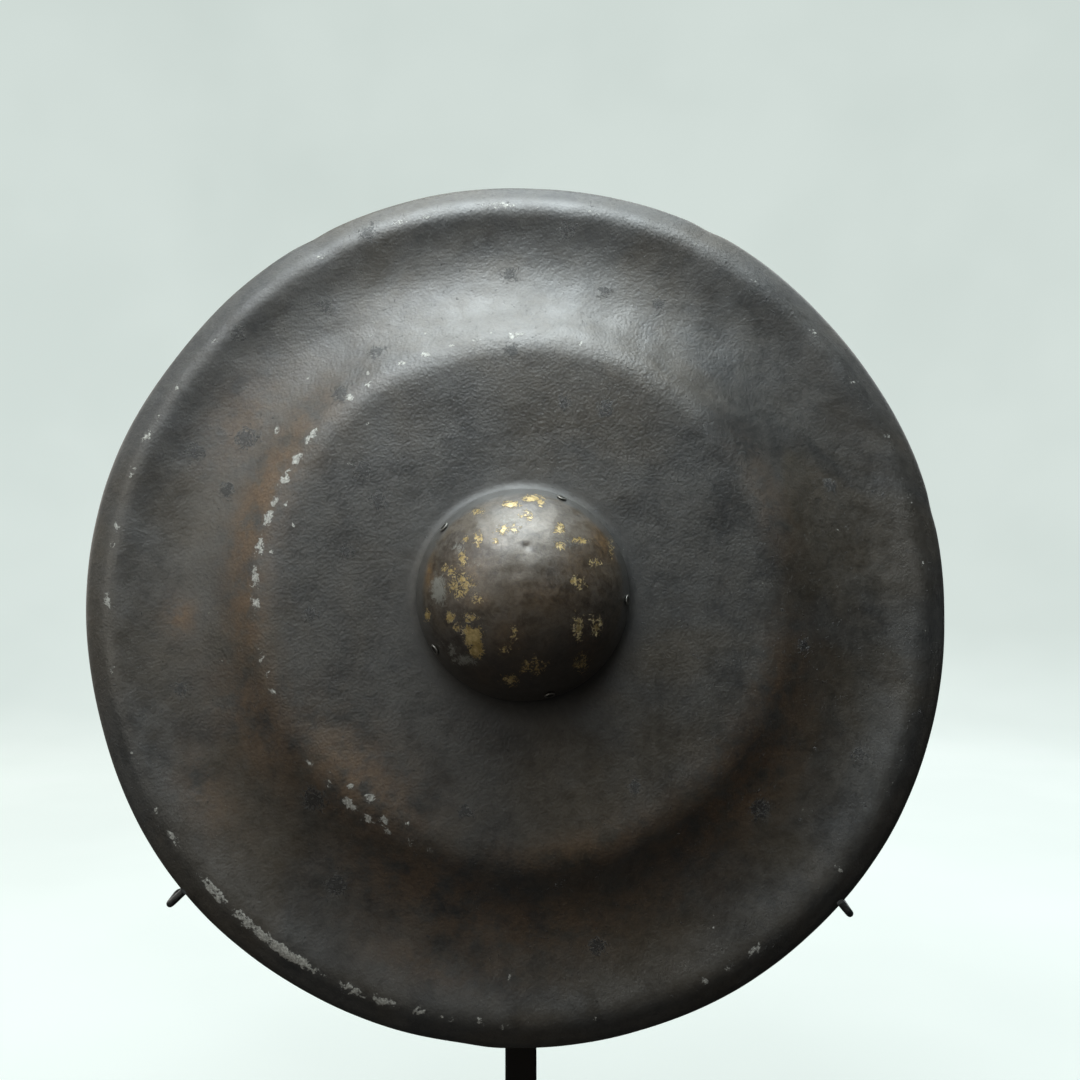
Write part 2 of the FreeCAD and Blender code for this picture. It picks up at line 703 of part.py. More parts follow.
def make_post_cap():
    """A moulded cap: a square top with a skirt that plugs into the tube."""
    placement = leaning_frame(0, size("post_top"), size("post_behind"))
    body = new_body("post_top_cap", placement)
    sketch = new_sketch(body, "XY_Plane", "CapTop")
    half = "Sizes.post_wide / 2"
    rectangle(sketch, half, "-" + half, half)
    solid = pad(body, sketch, "Sizes.cap_thick", "CapTopSolid")
    corners = edges_where(solid.Shape, lambda edge: edge.BoundBox.ZLength > 1)
    solid = round_edges(body, solid, corners, "Sizes.post_corner", "CapTopCorners")
    thick = size("cap_thick")
    top = edges_where(solid.Shape, lambda edge: edge.BoundBox.ZMin > thick - 0.01)
    round_edges(body, solid, top, "Sizes.cap_bevel", "CapTopBevel", kind="Chamfer")
    inner = "(Sizes.post_wide / 2 - Sizes.post_wall - Sizes.plug_gap)"
    skirt = new_sketch(body, "XY_Plane", "CapSkirt")
    rectangle(skirt, inner, "-" + inner, inner)
    pad(body, skirt, "Sizes.cap_skirt_long", "CapSkirtSolid", reverse=True)


# ---------------------------------------------------------------- bars and fasteners


def make_bar(label, half_wide, tall, up, bolt_offsets):
    """A flat bar across the front of the post, its thickness lying ahead of the post."""
    behind = size("post_behind") - size("post_wide") / 2
    body = new_body(label, leaning_frame(0, up, behind))
    sketch = new_sketch(body, "XZ_Plane", "BarOutline")
    rectangle(sketch, half_wide, "-%s / 2" % tall, "%s / 2" % tall)
    for offset in bolt_offsets:
        circle(sketch, "0", offset, "Sizes.bolt_hole_radius")
    if label == "hook_bar":
        side = "Sizes.rod_rear_radius * cos(Sizes.rod_rear_angle * 1deg)"
        circle(sketch, side, "0", "Sizes.rod_hole_radius")
        circle(sketch, "-" + side, "0", "Sizes.rod_hole_radius")
    solid = pad(body, sketch, "Sizes.bar_thick", "BarSolid")
    thick = size("bar_thick")
    ends = edges_where(solid.Shape, lambda edge: is_bar_corner(edge, thick))
    round_edges(body, solid, ends, "Sizes.bar_round", "BarCorners")


def is_bar_corner(edge, thick):
    """An edge across the bar's thickness, at one of its four corners."""
    return isinstance(edge.Curve, Part.Line) and abs(edge.Length - thick) < 0.01


def make_bolts():
    """Button-head bolts from the front, each with a washer and a nut behind the post."""
    front = size("post_behind") - size("post_wide") / 2 - size("bar_thick")
    rear = size("post_behind") + size("post_wide") / 2
    for label, up in bolt_heights().items():
        bolt = new_body(label, leaning_frame(0, up, front))
        sketch = new_sketch(bolt, "XY_Plane", "BoltOutline")
        closed_outline(sketch, [
            ("0", "-Sizes.bolt_head_height"),
            ("Sizes.bolt_head_radius * Sizes.bolt_face_share", "-Sizes.bolt_head_height"),
            ("Sizes.bolt_head_radius * Sizes.bolt_shoulder_share",
             "-Sizes.bolt_head_height * Sizes.bolt_shoulder_rise"),
            ("Sizes.bolt_head_radius", "0"),
            ("Sizes.bolt_radius", "0"),
            ("Sizes.bolt_radius", "Sizes.bolt_long"),
            ("0", "Sizes.bolt_long"),
        ])
        revolve(bolt, sketch, "BoltSolid")
        key = new_sketch(bolt, "XZ_Plane", "BoltKey")
        hexagon(key, "Sizes.bolt_key")
        key.AttachmentOffset = FreeCAD.Placement(
            FreeCAD.Vector(0, 0, size("bolt_head_height")), FreeCAD.Rotation())
        pocket(bolt, key, "BoltKeyCut", "Sizes.bolt_key_deep")

        washer = new_body(label.replace("bolt", "washer"), leaning_frame(0, up, rear))
        sketch = new_sketch(washer, "XZ_Plane", "WasherOutline")
        circle(sketch, "0", "0", "Sizes.washer_radius")
        circle(sketch, "0", "0", "Sizes.bolt_hole_radius")
        pad(washer, sketch, "Sizes.washer_thick", "WasherSolid", reverse=True)

        make_nut(label.replace("bolt", "nut"),
                 leaning_frame(0, up, rear + size("washer_thick")),
                 "Sizes.nut_flats", "Sizes.bolt_radius", "Sizes.nut_thick")


def make_nut(label, placement, flats, thread_radius, thick):
    """A hexagon nut whose front face lies in its frame's XZ plane, its body behind it."""
    nut = new_body(label, placement)
    sketch = new_sketch(nut, "XZ_Plane", "NutOutline")
    hexagon(sketch, flats)
    circle(sketch, "0", "0", thread_radius + " + Sizes.thread_gap")
    pad(nut, sketch, thick, "NutSolid", reverse=True)


def make_bumpers():
    """Rubber bumpers on the rest bar, just behind the rear edge of the rim."""
    behind = size("post_behind") - size("post_wide") / 2 - size("bar_thick")
    for side, label in ((-1, "rest_bumper_left"), (1, "rest_bumper_right")):
        placement = leaning_frame(side * size("bumper_side"), size("rest_bar_up"), behind)
        body = new_body(label, placement)
        sketch = new_sketch(body, "XZ_Plane", "BumperOutline")
        circle(sketch, "0", "0", "Sizes.bumper_radius")
        solid = pad(body, sketch, "Sizes.bumper_long", "BumperSolid")
        long = size("bumper_long")
        face = edges_where(solid.Shape, lambda edge: is_front_ring(edge, long))
        round_edges(body, solid, face, "Sizes.bumper_round", "BumperRound")


def is_front_ring(edge, distance):
    box = edge.BoundBox
    return isinstance(edge.Curve, Part.Circle) and abs(box.YMin + distance) < 0.01


# ---------------------------------------------------------------- hook rods

# Corners of each hand-bent rod after its straight tail: radius from the gong's axis,
# angle below level, height ahead of the gong's widest plane, and the bend's radius.
HOOK_CORNERS = {
    "left": [
        (252.4, 42.0, -57.0, 30.0),
        (252.6, 40.4, -8.0, 24.0),
        (254.2, 41.0, 11.2, 4.0),
        (243.2, 40.9, 12.4, 0.0),
    ],
    "right": [
        (252.4, 42.0, -57.0, 30.0),
        (252.6, 43.6, -8.0, 24.0),
        (252.4, 44.2, 11.0, 4.0),
        (242.9, 44.0, 12.4, 0.0),
    ],
}


def bent_path(corners, radii):
    """A wire of straight runs with a tangent arc of the given radius at each corner."""
    edges = []
    start = corners[0]
    for index in range(1, len(corners) - 1):
        corner = corners[index]
        back = (corners[index - 1] - corner).normalize()
        ahead = (corners[index + 1] - corner).normalize()
        half_turn = (math.pi - back.getAngle(ahead)) / 2
        reach = radii[index] * math.tan(half_turn)
        entry = corner + back * reach
        leave = corner + ahead * reach
        inward = (back + ahead).normalize()
        middle = corner + inward * (radii[index] / math.cos(half_turn) - radii[index])
        edges.append(Part.LineSegment(start, entry).toShape())
        edges.append(Part.Arc(entry, middle, leave).toShape())
        start = leave
    edges.append(Part.LineSegment(start, corners[-1]).toShape())
    return Part.Wire(edges)


def make_hook_rod(side, mirror):
    """One rod: a straight tail through the hook bar, then the hand-bent hook."""
    corners = []
    radii = []
    for radius, below, ahead, bend in HOOK_CORNERS[side]:
        angle = math.radians(below)
        corners.append(FreeCAD.Vector(mirror * radius * math.cos(angle), -ahead,
                                      -radius * math.sin(angle)))
        radii.append(bend)
    tail = corners[0] + FreeCAD.Vector(0, size("rod_tail"), 0)
    corners.insert(0, tail)
    radii.insert(0, 0.0)
    path = bent_path(corners, radii)
    ring = Part.Circle(tail, FreeCAD.Vector(0, 1, 0), size("rod_radius")).toShape()
    rod = path.makePipeShell([Part.Wire([ring])], True, True)
    expected = math.pi * size("rod_radius") ** 2 * path.Length
    if abs(rod.Volume - expected) > 0.02 * expected:
        raise RuntimeError("hook rod volume %.1f, expected %.1f" % (rod.Volume, expected))
    piece = doc.addObject("Part::Feature", "HookRod_" + side)
    piece.Label = "hook_rod_" + side
    piece.Shape = rod
    piece.Placement = leaning_frame(0, 0, 0)
    SUBPARTS.append(piece)


def make_hook_nuts():
    """Two nuts on each rod's tail, one ahead of the hook bar and one behind it."""
    front = size("post_behind") - size("post_wide") / 2 - size("bar_thick")
    aside, up = rod_tail_place()
    for mirror, side in ((-1, "left"), (1, "right")):
        for label, behind in (("front", front - size("rod_nut_thick")),
                              ("rear", front + size("bar_thick"))):
            make_nut("hook_nut_%s_%s" % (side, label),
                     leaning_frame(mirror * aside, up, behind),
                     "Sizes.rod_nut_flats", "Sizes.rod_radius", "Sizes.rod_nut_thick")


make_gong_plate()
make_boss_cap()
make_rivets()
make_base_felt()
make_base_plate()
make_foot_screw()
make_foot_plug()
make_post()
make_post_cap()
make_bar("hook_bar", "Sizes.hook_bar_half", "Sizes.hook_bar_tall", rod_tail_place()[1],
         ["Sizes.hook_bolt_spread", "-Sizes.hook_bolt_spread"])
make_bar("rest_bar", "Sizes.rest_bar_half", "Sizes.rest_bar_tall", size("rest_bar_up"), ["0"])
make_bolts()
make_bumpers()
make_hook_rod("left", -1)
make_hook_rod("right", 1)
make_hook_nuts()
doc.recompute()

for item in doc.Objects:
    if "Invalid" in item.State or "Error" in item.State:
        raise RuntimeError("%s failed: %s" % (item.Label, item.State))
for piece in SUBPARTS:
    if piece.Shape.isNull() or not piece.Shape.isValid():
        raise RuntimeError(piece.Label + " has no valid shape")

os.makedirs("parts", exist_ok=True)
for piece in SUBPARTS:
    piece.Shape.exportStep(os.path.join("parts", piece.Label + ".step"))
    box = piece.Shape.BoundBox
    print("%-24s %9.0f mm3  x %.1f..%.1f  y %.1f..%.1f  z %.1f..%.1f" % (
        piece.Label, piece.Shape.Volume, box.XMin, box.XMax, box.YMin, box.YMax,
        box.ZMin, box.ZMax))
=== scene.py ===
import json
import math
import random

import bpy
import numpy as np
from mathutils import Matrix, Vector, noise


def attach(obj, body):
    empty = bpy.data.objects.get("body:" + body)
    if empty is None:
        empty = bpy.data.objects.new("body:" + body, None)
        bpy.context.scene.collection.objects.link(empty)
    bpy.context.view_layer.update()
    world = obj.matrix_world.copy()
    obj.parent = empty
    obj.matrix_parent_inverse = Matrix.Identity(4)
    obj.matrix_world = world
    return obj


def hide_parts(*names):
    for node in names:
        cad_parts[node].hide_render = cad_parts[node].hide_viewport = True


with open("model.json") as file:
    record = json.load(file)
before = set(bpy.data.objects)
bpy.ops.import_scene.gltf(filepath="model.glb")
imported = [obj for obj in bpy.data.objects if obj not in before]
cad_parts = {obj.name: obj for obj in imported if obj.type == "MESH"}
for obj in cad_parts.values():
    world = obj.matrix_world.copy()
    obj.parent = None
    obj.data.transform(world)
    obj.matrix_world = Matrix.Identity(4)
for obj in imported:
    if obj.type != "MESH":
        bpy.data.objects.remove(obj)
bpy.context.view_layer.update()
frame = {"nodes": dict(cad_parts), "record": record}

# A bossed gong of hammered iron with a brass boss, leaning back on a black steel stand.
# Meshes of the gong are made in the gong frame, in millimetres: X right, Y up in the gong's
# plane, Z forward along its axis, with the origin in the plane of the rim's rear edge.

MM = 0.001
TURN = 2 * math.pi
LEAN = math.radians(6.5)
GONG_CENTRE = Vector((0, -0.020, 0.353))    # on the axis, in the plane of the widest line
WIDEST_RISE = 56.0
FORWARD = Vector((0, -math.cos(LEAN), math.sin(LEAN)))
GONG_FRAME = Matrix.Translation(GONG_CENTRE - FORWARD * WIDEST_RISE * MM) @ Matrix.Rotation(
    math.pi / 2 - LEAN, 4, "X")

# ------------------------------------------------------------------ camera, stage, lights

CAMERA_PLACE = (-0.0118, -0.6527, 0.3842)
CAMERA_TILT, CAMERA_HEADING = math.radians(90.21), math.radians(-2.0)
CAMERA_LENS, CAMERA_SENSOR = 36.67, 36.0
NEAREST_SEEN = 0.01

camera_data = bpy.data.cameras.new("camera")
camera_data.sensor_width = CAMERA_SENSOR
camera_data.lens = CAMERA_LENS
camera_data.clip_start = NEAREST_SEEN
camera = bpy.data.objects.new("camera", camera_data)
camera.location = CAMERA_PLACE
camera.rotation_euler = (CAMERA_TILT, 0, CAMERA_HEADING)
bpy.context.scene.collection.objects.link(camera)
bpy.context.scene.camera = camera
bpy.context.scene.view_settings.view_transform = "Standard"


def shade_smooth(mesh):
    mesh.polygons.foreach_set("use_smooth", [True] * len(mesh.polygons))


def mesh_object(name, points, faces):
    """A smooth-shaded mesh object from points in metres."""
    mesh = bpy.data.meshes.new(name)
    mesh.from_pydata([tuple(p) for p in points], [], faces)
    shade_smooth(mesh)
    mesh.update()
    piece = bpy.data.objects.new(name, mesh)
    bpy.context.scene.collection.objects.link(piece)
    return piece


def make_backdrop():
    """A pale round floor whose edge sweeps up into a wall all round, like a shallow tub."""
    flat, sweep, tall = 1.7, 0.9, 4.5
    sides, sweep_steps = 96, 16
    line = [(0.45, 0.0), (0.9, 0.0), (1.3, 0.0), (flat, 0.0)]
    for step in range(1, sweep_steps + 1):
        turn = TURN / 4 * step / sweep_steps
        line.append((flat + sweep * math.sin(turn), sweep * (1 - math.cos(turn))))
    line.append((flat + sweep, tall))
    points, faces = [(0.0, 0.0, 0.0)], []
    for radius, height in line:
        for k in range(sides):
            turn = TURN * k / sides
            points.append((radius * math.cos(turn), radius * math.sin(turn), height))
    for k in range(sides):
        after = (k + 1) % sides
        faces.append((0, 1 + k, 1 + after))
        for row in range(len(line) - 1):
            a, b = 1 + row * sides + k, 1 + row * sides + after
            faces.append((a, a + sides, b + sides, b))
    return mesh_object("backdrop", points, faces)


# Name, place and target in metres, width, height, watts, colour.
LIGHTS = [
    ("overhead_softbox", (0.0, -0.17, 1.30), (0.0, -0.05, 0.40), 0.75, 0.92, 12.5,
     (0.90, 0.985, 1.0)),
    ("front_left_softbox", (-0.5, -0.6, 1.35), (0, -0.05, 0.40), 0.9, 0.6, 4.2,
     (0.94, 0.98, 1.0)),
    ("left_fill", (-1.5, -1.2, 0.95), (0, 0, 0.35), 1.2, 1.4, 5.4, (1.0, 0.96, 0.85)),
    ("low_warm_fill", (0, -0.9, 0.05), (0, -0.05, 0.30), 1.2, 0.5, 0.12, (1.0, 0.72, 0.38)),
    ("rear_softbox", (0.9, 1.35, 1.25), (0.0, 0.05, 0.33), 1.3, 1.0, 22.0,
     (0.95, 0.985, 1.0)),
    ("rear_fill", (-1.4, 1.0, 0.7), (0.0, 0.05, 0.30), 1.0, 1.0, 9.0, (1.0, 0.97, 0.92)),
]
SKY_COLOUR = (0.90, 0.95, 1.0, 1)
SKY_STRENGTH = 0.03

for name, place, target, width, height, power, colour in LIGHTS:
    data = bpy.data.lights.new(name, "AREA")
    data.shape = "RECTANGLE"
    data.size, data.size_y = width, height
    data.energy = power
    data.color = colour
    light = bpy.data.objects.new(name, data)
    light.location = place
    light.rotation_mode = "QUATERNION"
    light.rotation_quaternion = (Vector(target) - Vector(place)).to_track_quat("-Z", "Y")
    light.visible_camera = False
    bpy.context.scene.collection.objects.link(light)

world = bpy.data.worlds.new("studio")
world.use_nodes = True
sky = world.node_tree.nodes["Background"]
sky.inputs["Color"].default_value = SKY_COLOUR
sky.inputs["Strength"].default_value = SKY_STRENGTH
bpy.context.scene.world = world

# ------------------------------------------------------------------ node material helper


class Material:
    """A node material laid out in millimetres: of object space, or of the gong's own frame."""

    def __init__(self, name, on_gong=False):
        self.material = bpy.data.materials.new(name)
        self.material.use_nodes = True
        self.tree = self.material.node_tree
        self.shader = self.tree.nodes["Principled BSDF"]
        if on_gong:
            self.place = self.node("Attribute", attribute_name="gong_place").outputs["Vector"]
        else:
            scaled = self.vector("SCALE", self.node("TexCoord").outputs["Object"])
            scaled.inputs["Scale"].default_value = 1 / MM
            self.place = scaled.outputs["Vector"]

    def node(self, kind, **settings):
        made = self.tree.nodes.new("ShaderNode" + kind)
        for key, value in settings.items():
            setattr(made, key, value)
        return made

    def plug(self, socket, value):
        """Links an output to a socket, or sets the socket's own value."""
        if isinstance(value, bpy.types.NodeSocket):
            self.tree.links.new(value, socket)
        elif isinstance(value, (tuple, list)) and socket.type == "RGBA":
            socket.default_value = (*value[:3], 1.0)
        else:
            socket.default_value = value

    def vector(self, operation, first, second=None):
        """A vector maths node; the caller picks its output."""
        made = self.node("VectorMath", operation=operation)
        self.plug(made.inputs[0], first)
        if second is not None:
            self.plug(made.inputs[1], second)
        return made

    def math(self, operation, first, second=0.0, clamp=False):
        made = self.node("Math", operation=operation, use_clamp=clamp)
        self.plug(made.inputs[0], first)
        self.plug(made.inputs[1], second)
        return made.outputs[0]

    def times(self, first, second, clamp=False):
        return self.math("MULTIPLY", first, second, clamp)

    def less(self, value):
        """One minus a value."""
        return self.math("SUBTRACT", 1.0, value)

    def noise(self, size, detail=3.0, roughness=0.55, place=None, warp=0.0, shift=0.0):
        """Noise whose main blobs are about size mm across, from 0 to 1."""
        made = self.node("TexNoise")
        source = place or self.place
        if shift:
            source = self.vector("ADD", source, (shift, shift * 0.7, -shift)).outputs[0]
        self.plug(made.inputs["Vector"], source)
        made.inputs["Scale"].default_value = 1 / size
        made.inputs["Detail"].default_value = detail
        made.inputs["Roughness"].default_value = roughness
        made.inputs["Distortion"].default_value = warp
        return made.outputs["Fac"]

    def pebbles(self, size, smoothness):
        """Rounded cells about size mm across, as the distance from each cell's middle."""
        made = self.node("TexVoronoi", feature="SMOOTH_F1")
        self.plug(made.inputs["Vector"], self.place)
        made.inputs["Scale"].default_value = 1 / size
        made.inputs["Smoothness"].default_value = smoothness
        return made.outputs["Distance"]

    def axis_distance(self):
        """Distance from the gong's axis in mm."""
        flat = self.vector("MULTIPLY", self.place, (1, 1, 0)).outputs[0]
        return self.vector("LENGTH", flat).outputs["Value"]

    def attribute(self, name):
        """An amount from 0 to 1 that is stored on the mesh."""
        return self.node("Attribute", attribute_name=name).outputs["Fac"]

    def step(self, value, low, high, out_low=0.0, out_high=1.0):
        """A smooth step as a value goes from low to high."""
        made = self.node("MapRange", interpolation_type="SMOOTHSTEP")
        self.plug(made.inputs["Value"], value)
        self.plug(made.inputs["From Min"], low)
        self.plug(made.inputs["From Max"], high)
        self.plug(made.inputs["To Min"], out_low)
        self.plug(made.inputs["To Max"], out_high)
        return made.outputs["Result"]

    def mix(self, share, first, second):
        """A colour between two colours."""
        made = self.node("Mix", data_type="RGBA")
        self.plug(made.inputs["Factor"], share)
        self.plug(made.inputs["A"], first)
        self.plug(made.inputs["B"], second)
        return made.outputs["Result"]

    def blend(self, share, first, second):
        """A number between two numbers."""
        made = self.node("Mix", data_type="FLOAT")
        self.plug(made.inputs["Factor"], share)
        self.plug(made.inputs["A"], first)
        self.plug(made.inputs["B"], second)
        return made.outputs["Result"]

    def bump(self, layers):
        """Bump from (height, depth in mm, strength) layers, each on the one before."""
        normal = None
        for height, depth, strength in layers:
            made = self.node("Bump")
            self.plug(made.inputs["Height"], height)
            made.inputs["Distance"].default_value = depth * MM
            self.plug(made.inputs["Strength"], strength)
            if normal is not None:
                self.plug(made.inputs["Normal"], normal)
            normal = made.outputs["Normal"]
        self.plug(self.shader.inputs["Normal"], normal)

    def finish(self, colour, roughness, **sockets):
        """Fills the shader's sockets, named with _ for a space, and gives the material."""
        self.plug(self.shader.inputs["Base Color"], colour)
        self.plug(self.shader.inputs["Roughness"], roughness)
        for name, value in sockets.items():
            self.plug(self.shader.inputs[name.replace("_", " ")], value)
        return self.material


def pale_paper():
    """Matt pale paper with a little light of its own, so it stays even from all sides."""
    make = Material("pale_backdrop")
    cloud = make.noise(600.0, 3)
    soft = make.step(cloud, 0.3, 0.7)
    glow = make.mix(soft, (0.70, 0.79, 0.75), (0.74, 0.83, 0.79))
    make.plug(make.shader.inputs["Emission Color"], glow)
    return make.finish(make.mix(soft, (0.25, 0.265, 0.26), (0.28, 0.295, 0.29)),
                       make.blend(cloud, 0.85, 0.95), Emission_Strength=0.84)


backdrop = make_backdrop()
backdrop.data.materials.append(pale_paper())
backdrop.visible_diffuse = backdrop.visible_glossy = False

# ------------------------------------------------------------------ the iron plate's shape


ARC_LEAST = 3


def rounded_line(corners, step):
    """Points about step apart along straight runs with a tangent arc at each corner.

    A corner is (x, y, arc radius); the first and the last have no arc.
    """
    ends = [Vector(corners[0][:2])]
    pieces = []
    for before, corner, after in zip(corners, corners[1:], corners[2:]):
        here = Vector(corner[:2])
        back = (Vector(before[:2]) - here).normalized()
        ahead = (Vector(after[:2]) - here).normalized()
        half = back.angle(ahead) / 2
        reach = corner[2] / math.tan(half)
        middle = here + (back + ahead).normalized() * (corner[2] / math.sin(half))
        pieces.append((ends[-1], here + back * reach, None))
        pieces.append((here + back * reach, here + ahead * reach, middle))
        ends.append(here + ahead * reach)
    pieces.append((ends[-1], Vector(corners[-1][:2]), None))
    line = [pieces[0][0]]
    for start, end, middle in pieces:
        if middle is None:
            count = max(1, round((end - start).length / step))
            line += [start.lerp(end, i / count) for i in range(1, count + 1)]
        else:
            first, last = start - middle, end - middle
            sweep = first.angle_signed(last)
            length = abs(sweep) * first.length
            count = max(ARC_LEAST, round(length / step))
            line += [middle + Matrix.Rotation(-sweep * i / count, 2) @ first
                     for i in range(1, count + 1)]
    return line


def line_normals(line):
    """Left-hand normals of a run of points, averaged at each point."""
    sides = [(b - a).normalized() for a, b in zip(line, line[1:])]
    result = []
    for i in range(len(line)):
        near = [sides[k] for k in (i - 1, i) if 0 <= k < len(sides)]
        along = sum(near, Vector((0, 0))).normalized()
        result.append(Vector((-along.y, along.x)))
    return result


WALL = 2.0
RIM_REAR_RADIUS, WIDEST_RADIUS = 243.0, 250.75
# Radius, height and arc of each corner of the plate's front, from the rear edge inwards.
PLATE_CORNERS = [
    (RIM_REAR_RADIUS, 0.0, 0.0),
    (WIDEST_RADIUS, WIDEST_RISE, 13.0),
    (232.0, 67.5, 18.0),        # crest
    (187.0, 59.0, 80.0),        # bottom of the dish
    (143.0, 87.0, 35.0),        # ridge round the plateau
    (58.03, 89.0, 7.5),         # foot of the collar
    (50.11, 106.0, 0.0),        # end of the collar
]
FRONT_STEP, BACK_STEP, EDGE_STEPS = 1.9, 4.0, 4
PLATE_SEGMENTS = 450


def plate_section():
    """Closed section of the plate: front, collar's end, coarser back, round rear edge."""
    front = rounded_line(PLATE_CORNERS, FRONT_STEP)
    inward = line_normals(front)
    back = [point + normal * WALL for point, normal in zip(front, inward)]
    front, back = front[1:], back[1:]
    thin = [back[0]]
    for point in back[1:]:
        if (point - thin[-1]).length > BACK_STEP:
            thin.append(point)
    middle = (front[0] + back[0]) / 2
    half = (front[0] - back[0]) / 2
    edge = []
    for step in range(1, EDGE_STEPS):
        turn = math.pi * step / EDGE_STEPS
        edge.append(middle - half * math.cos(turn) - Vector((0, middle.y)) * math.sin(turn))
    return front + thin[::-1] + edge


def revolved(name, section, segments):
    """A closed section of (radius, height) mm, turned about the object's own Z axis."""
    turns = np.arange(segments) * TURN / segments
    radius = np.array([p[0] for p in section])
    height = np.array([p[1] for p in section])
    grid = np.stack([np.outer(np.cos(turns), radius), np.outer(np.sin(turns), radius),
                     np.tile(height, (segments, 1))], axis=2).reshape(-1, 3) * MM
    rows = len(section)
    faces = []
    for s in range(segments):
        after = (s + 1) % segments
        for r in range(rows):
            ahead = (r + 1) % rows
            faces.append((s * rows + r, after * rows + r, after * rows + ahead,
                          s * rows + ahead))
    return mesh_object(name, grid, faces)


def coordinates(mesh):
    """(points, normals) of a mesh as arrays."""
    points = np.empty(len(mesh.vertices) * 3)
    mesh.vertices.foreach_get("co", points)
    normals = np.empty(len(mesh.vertices) * 3)
    mesh.vertex_normals.foreach_get("vector", normals)
    return points.reshape(-1, 3), normals.reshape(-1, 3)


def move_points(mesh, points):
    mesh.vertices.foreach_set("co", points.ravel())
    mesh.update()


def paint(mesh, name, values):
    """Stores an amount from 0 to 1 at each point, for a material to read."""
    layer = mesh.attributes.new(name, "FLOAT", "POINT")
    layer.data.foreach_set("value", np.clip(values, 0, 1).astype(np.float32))


def settle(piece):
    """Stores each point's place in the gong frame, in mm, then moves the mesh to the world."""
    mesh = piece.data
    layer = mesh.attributes.new("gong_place", "FLOAT_VECTOR", "POINT")
    places = np.empty(len(mesh.vertices) * 3, dtype=np.float32)
    mesh.vertices.foreach_get("co", places)
    layer.data.foreach_set("vector", places / MM)
    mesh.transform(GONG_FRAME)
    mesh.update()
    return piece


def soft_noise(points, size, octaves, seed):
    """Noise at each point, about -1 to 1, its blobs about size mm across."""
    fading, finer = 0.9, 2.1
    shift = Vector((seed * 17.3, seed * 5.1, -seed * 9.7))
    place = points / MM / size
    return np.array([noise.fractal(Vector(p) + shift, fading, finer, octaves) for p in place])


def bell(distance, width):
    """1 at no distance, fading to 0 past the width."""
    return np.exp(-(distance / width) ** 2)


def angle_gap(angles, centre):
    """Degrees from a centre angle, from -180 to 180."""
    return (angles - centre + 180) % 360 - 180


def spot(flat, angle, radius, size):
    """A round spot at an angle and a radius, 1 at its middle, for points in mm."""
    x, y = radius * math.cos(math.radians(angle)), radius * math.sin(math.radians(angle))
    return bell(np.hypot(flat[:, 0] - x, flat[:, 1] - y), size)


def strongest(angles, spans):
    """The strongest of the (centre, spread, amount) spans at each angle."""
    amount = np.zeros(len(angles))
    for centre, spread, much in spans:
        amount = np.maximum(amount, much * bell(angle_gap(angles, centre), spread))
    return amount


# How far the hand-made rim strays from a circle: angle and spread in degrees, millimetres.
# All angles are anticlockwise from the right, as seen from the front.
OUTLINE_LOBES = [
    (62, 16, 1.9), (38, 14, -0.9), (85, 12, -0.5), (145, 9, -1.1), (166, 14, 0.9),
    (196, 12, -1.1), (220, 12, 0.5), (247, 20, -0.9), (262, 6, -0.7), (300, 12, 1.0),
    (324, 14, 1.3), (358, 12, -1.0),
]
OUTLINE_BASE = -0.95
OUTLINE_NICKS = [(120, 2.0, -0.7), (63, 1.8, -0.9), (12, 2.2, -0.8), (266, 3.0, 0.6)]


def outline_shift(angles):
    """Millimetres outwards at each angle."""
    shift = np.full_like(angles, OUTLINE_BASE)
    for centre, width, height in OUTLINE_LOBES + OUTLINE_NICKS:
        shift += height * bell(angle_gap(angles, centre), width)
    return shift


def dented(points, count, low, high, size, depth, seed):
    """Hammer marks: shallow round dents strewn between two radii, as depths in mm.

    A dent counts only out to two of its reaches, where it has faded to nothing.
    """
    chance = random.Random(seed)
    total = np.zeros(len(points))
    flat = points[:, :2] / MM
    order = np.argsort(flat[:, 0])
    sorted_x = flat[order, 0]
    for _ in range(count):
        radius = math.sqrt(chance.uniform(low ** 2, high ** 2))
        turn = chance.uniform(0, TURN)
        reach = size * chance.uniform(0.7, 1.3)
        deep = depth * chance.uniform(0.4, 1.0)
        x, y = radius * math.cos(turn), radius * math.sin(turn)
        first, last = np.searchsorted(sorted_x, (x - 2 * reach, x + 2 * reach))
        near = order[first:last]
        near = near[np.abs(flat[near, 1] - y) < 2 * reach]
        gap = (flat[near, 0] - x) ** 2 + (flat[near, 1] - y) ** 2
        total[near] += deep * np.exp(-gap / reach ** 2)
    return total


# Hammer marks: how many, least and greatest radius, size and depth in mm, seed.
PLATE_MARKS = [(900, 150, 246, 9.0, 0.20, 11), (420, 62, 150, 8.0, 0.09, 12),
               (60, 70, 240, 22.0, 0.35, 13)]
CAP_MARKS = [(150, 0, 52, 5.5, 0.12, 21), (16, 5, 44, 11, 0.3, 22)]

# Crusts on the patina: angle, radius, size in mm.
SCABS = [
    (113, 233, 5.5), (83, 218, 5), (92, 190, 4.5), (75, 186, 4), (65, 190, 4), (121, 162, 5),
    (93, 137, 4), (78, 110, 4), (66, 114, 5), (132, 152, 5), (150, 182, 7), (160, 178, 5),
    (156, 205, 6), (147, 94, 5), (142, 112, 5.5), (195, 197, 5), (185, 116, 4),
    (166, 100, 4), (124, 205, 5), (137, 225, 5), (237, 188, 7), (224, 158, 7), (282, 196, 5),
    (318, 178, 6), (20, 190, 4), (335, 210, 4), (350, 160, 4), (255, 120, 4), (300, 120, 4),
]

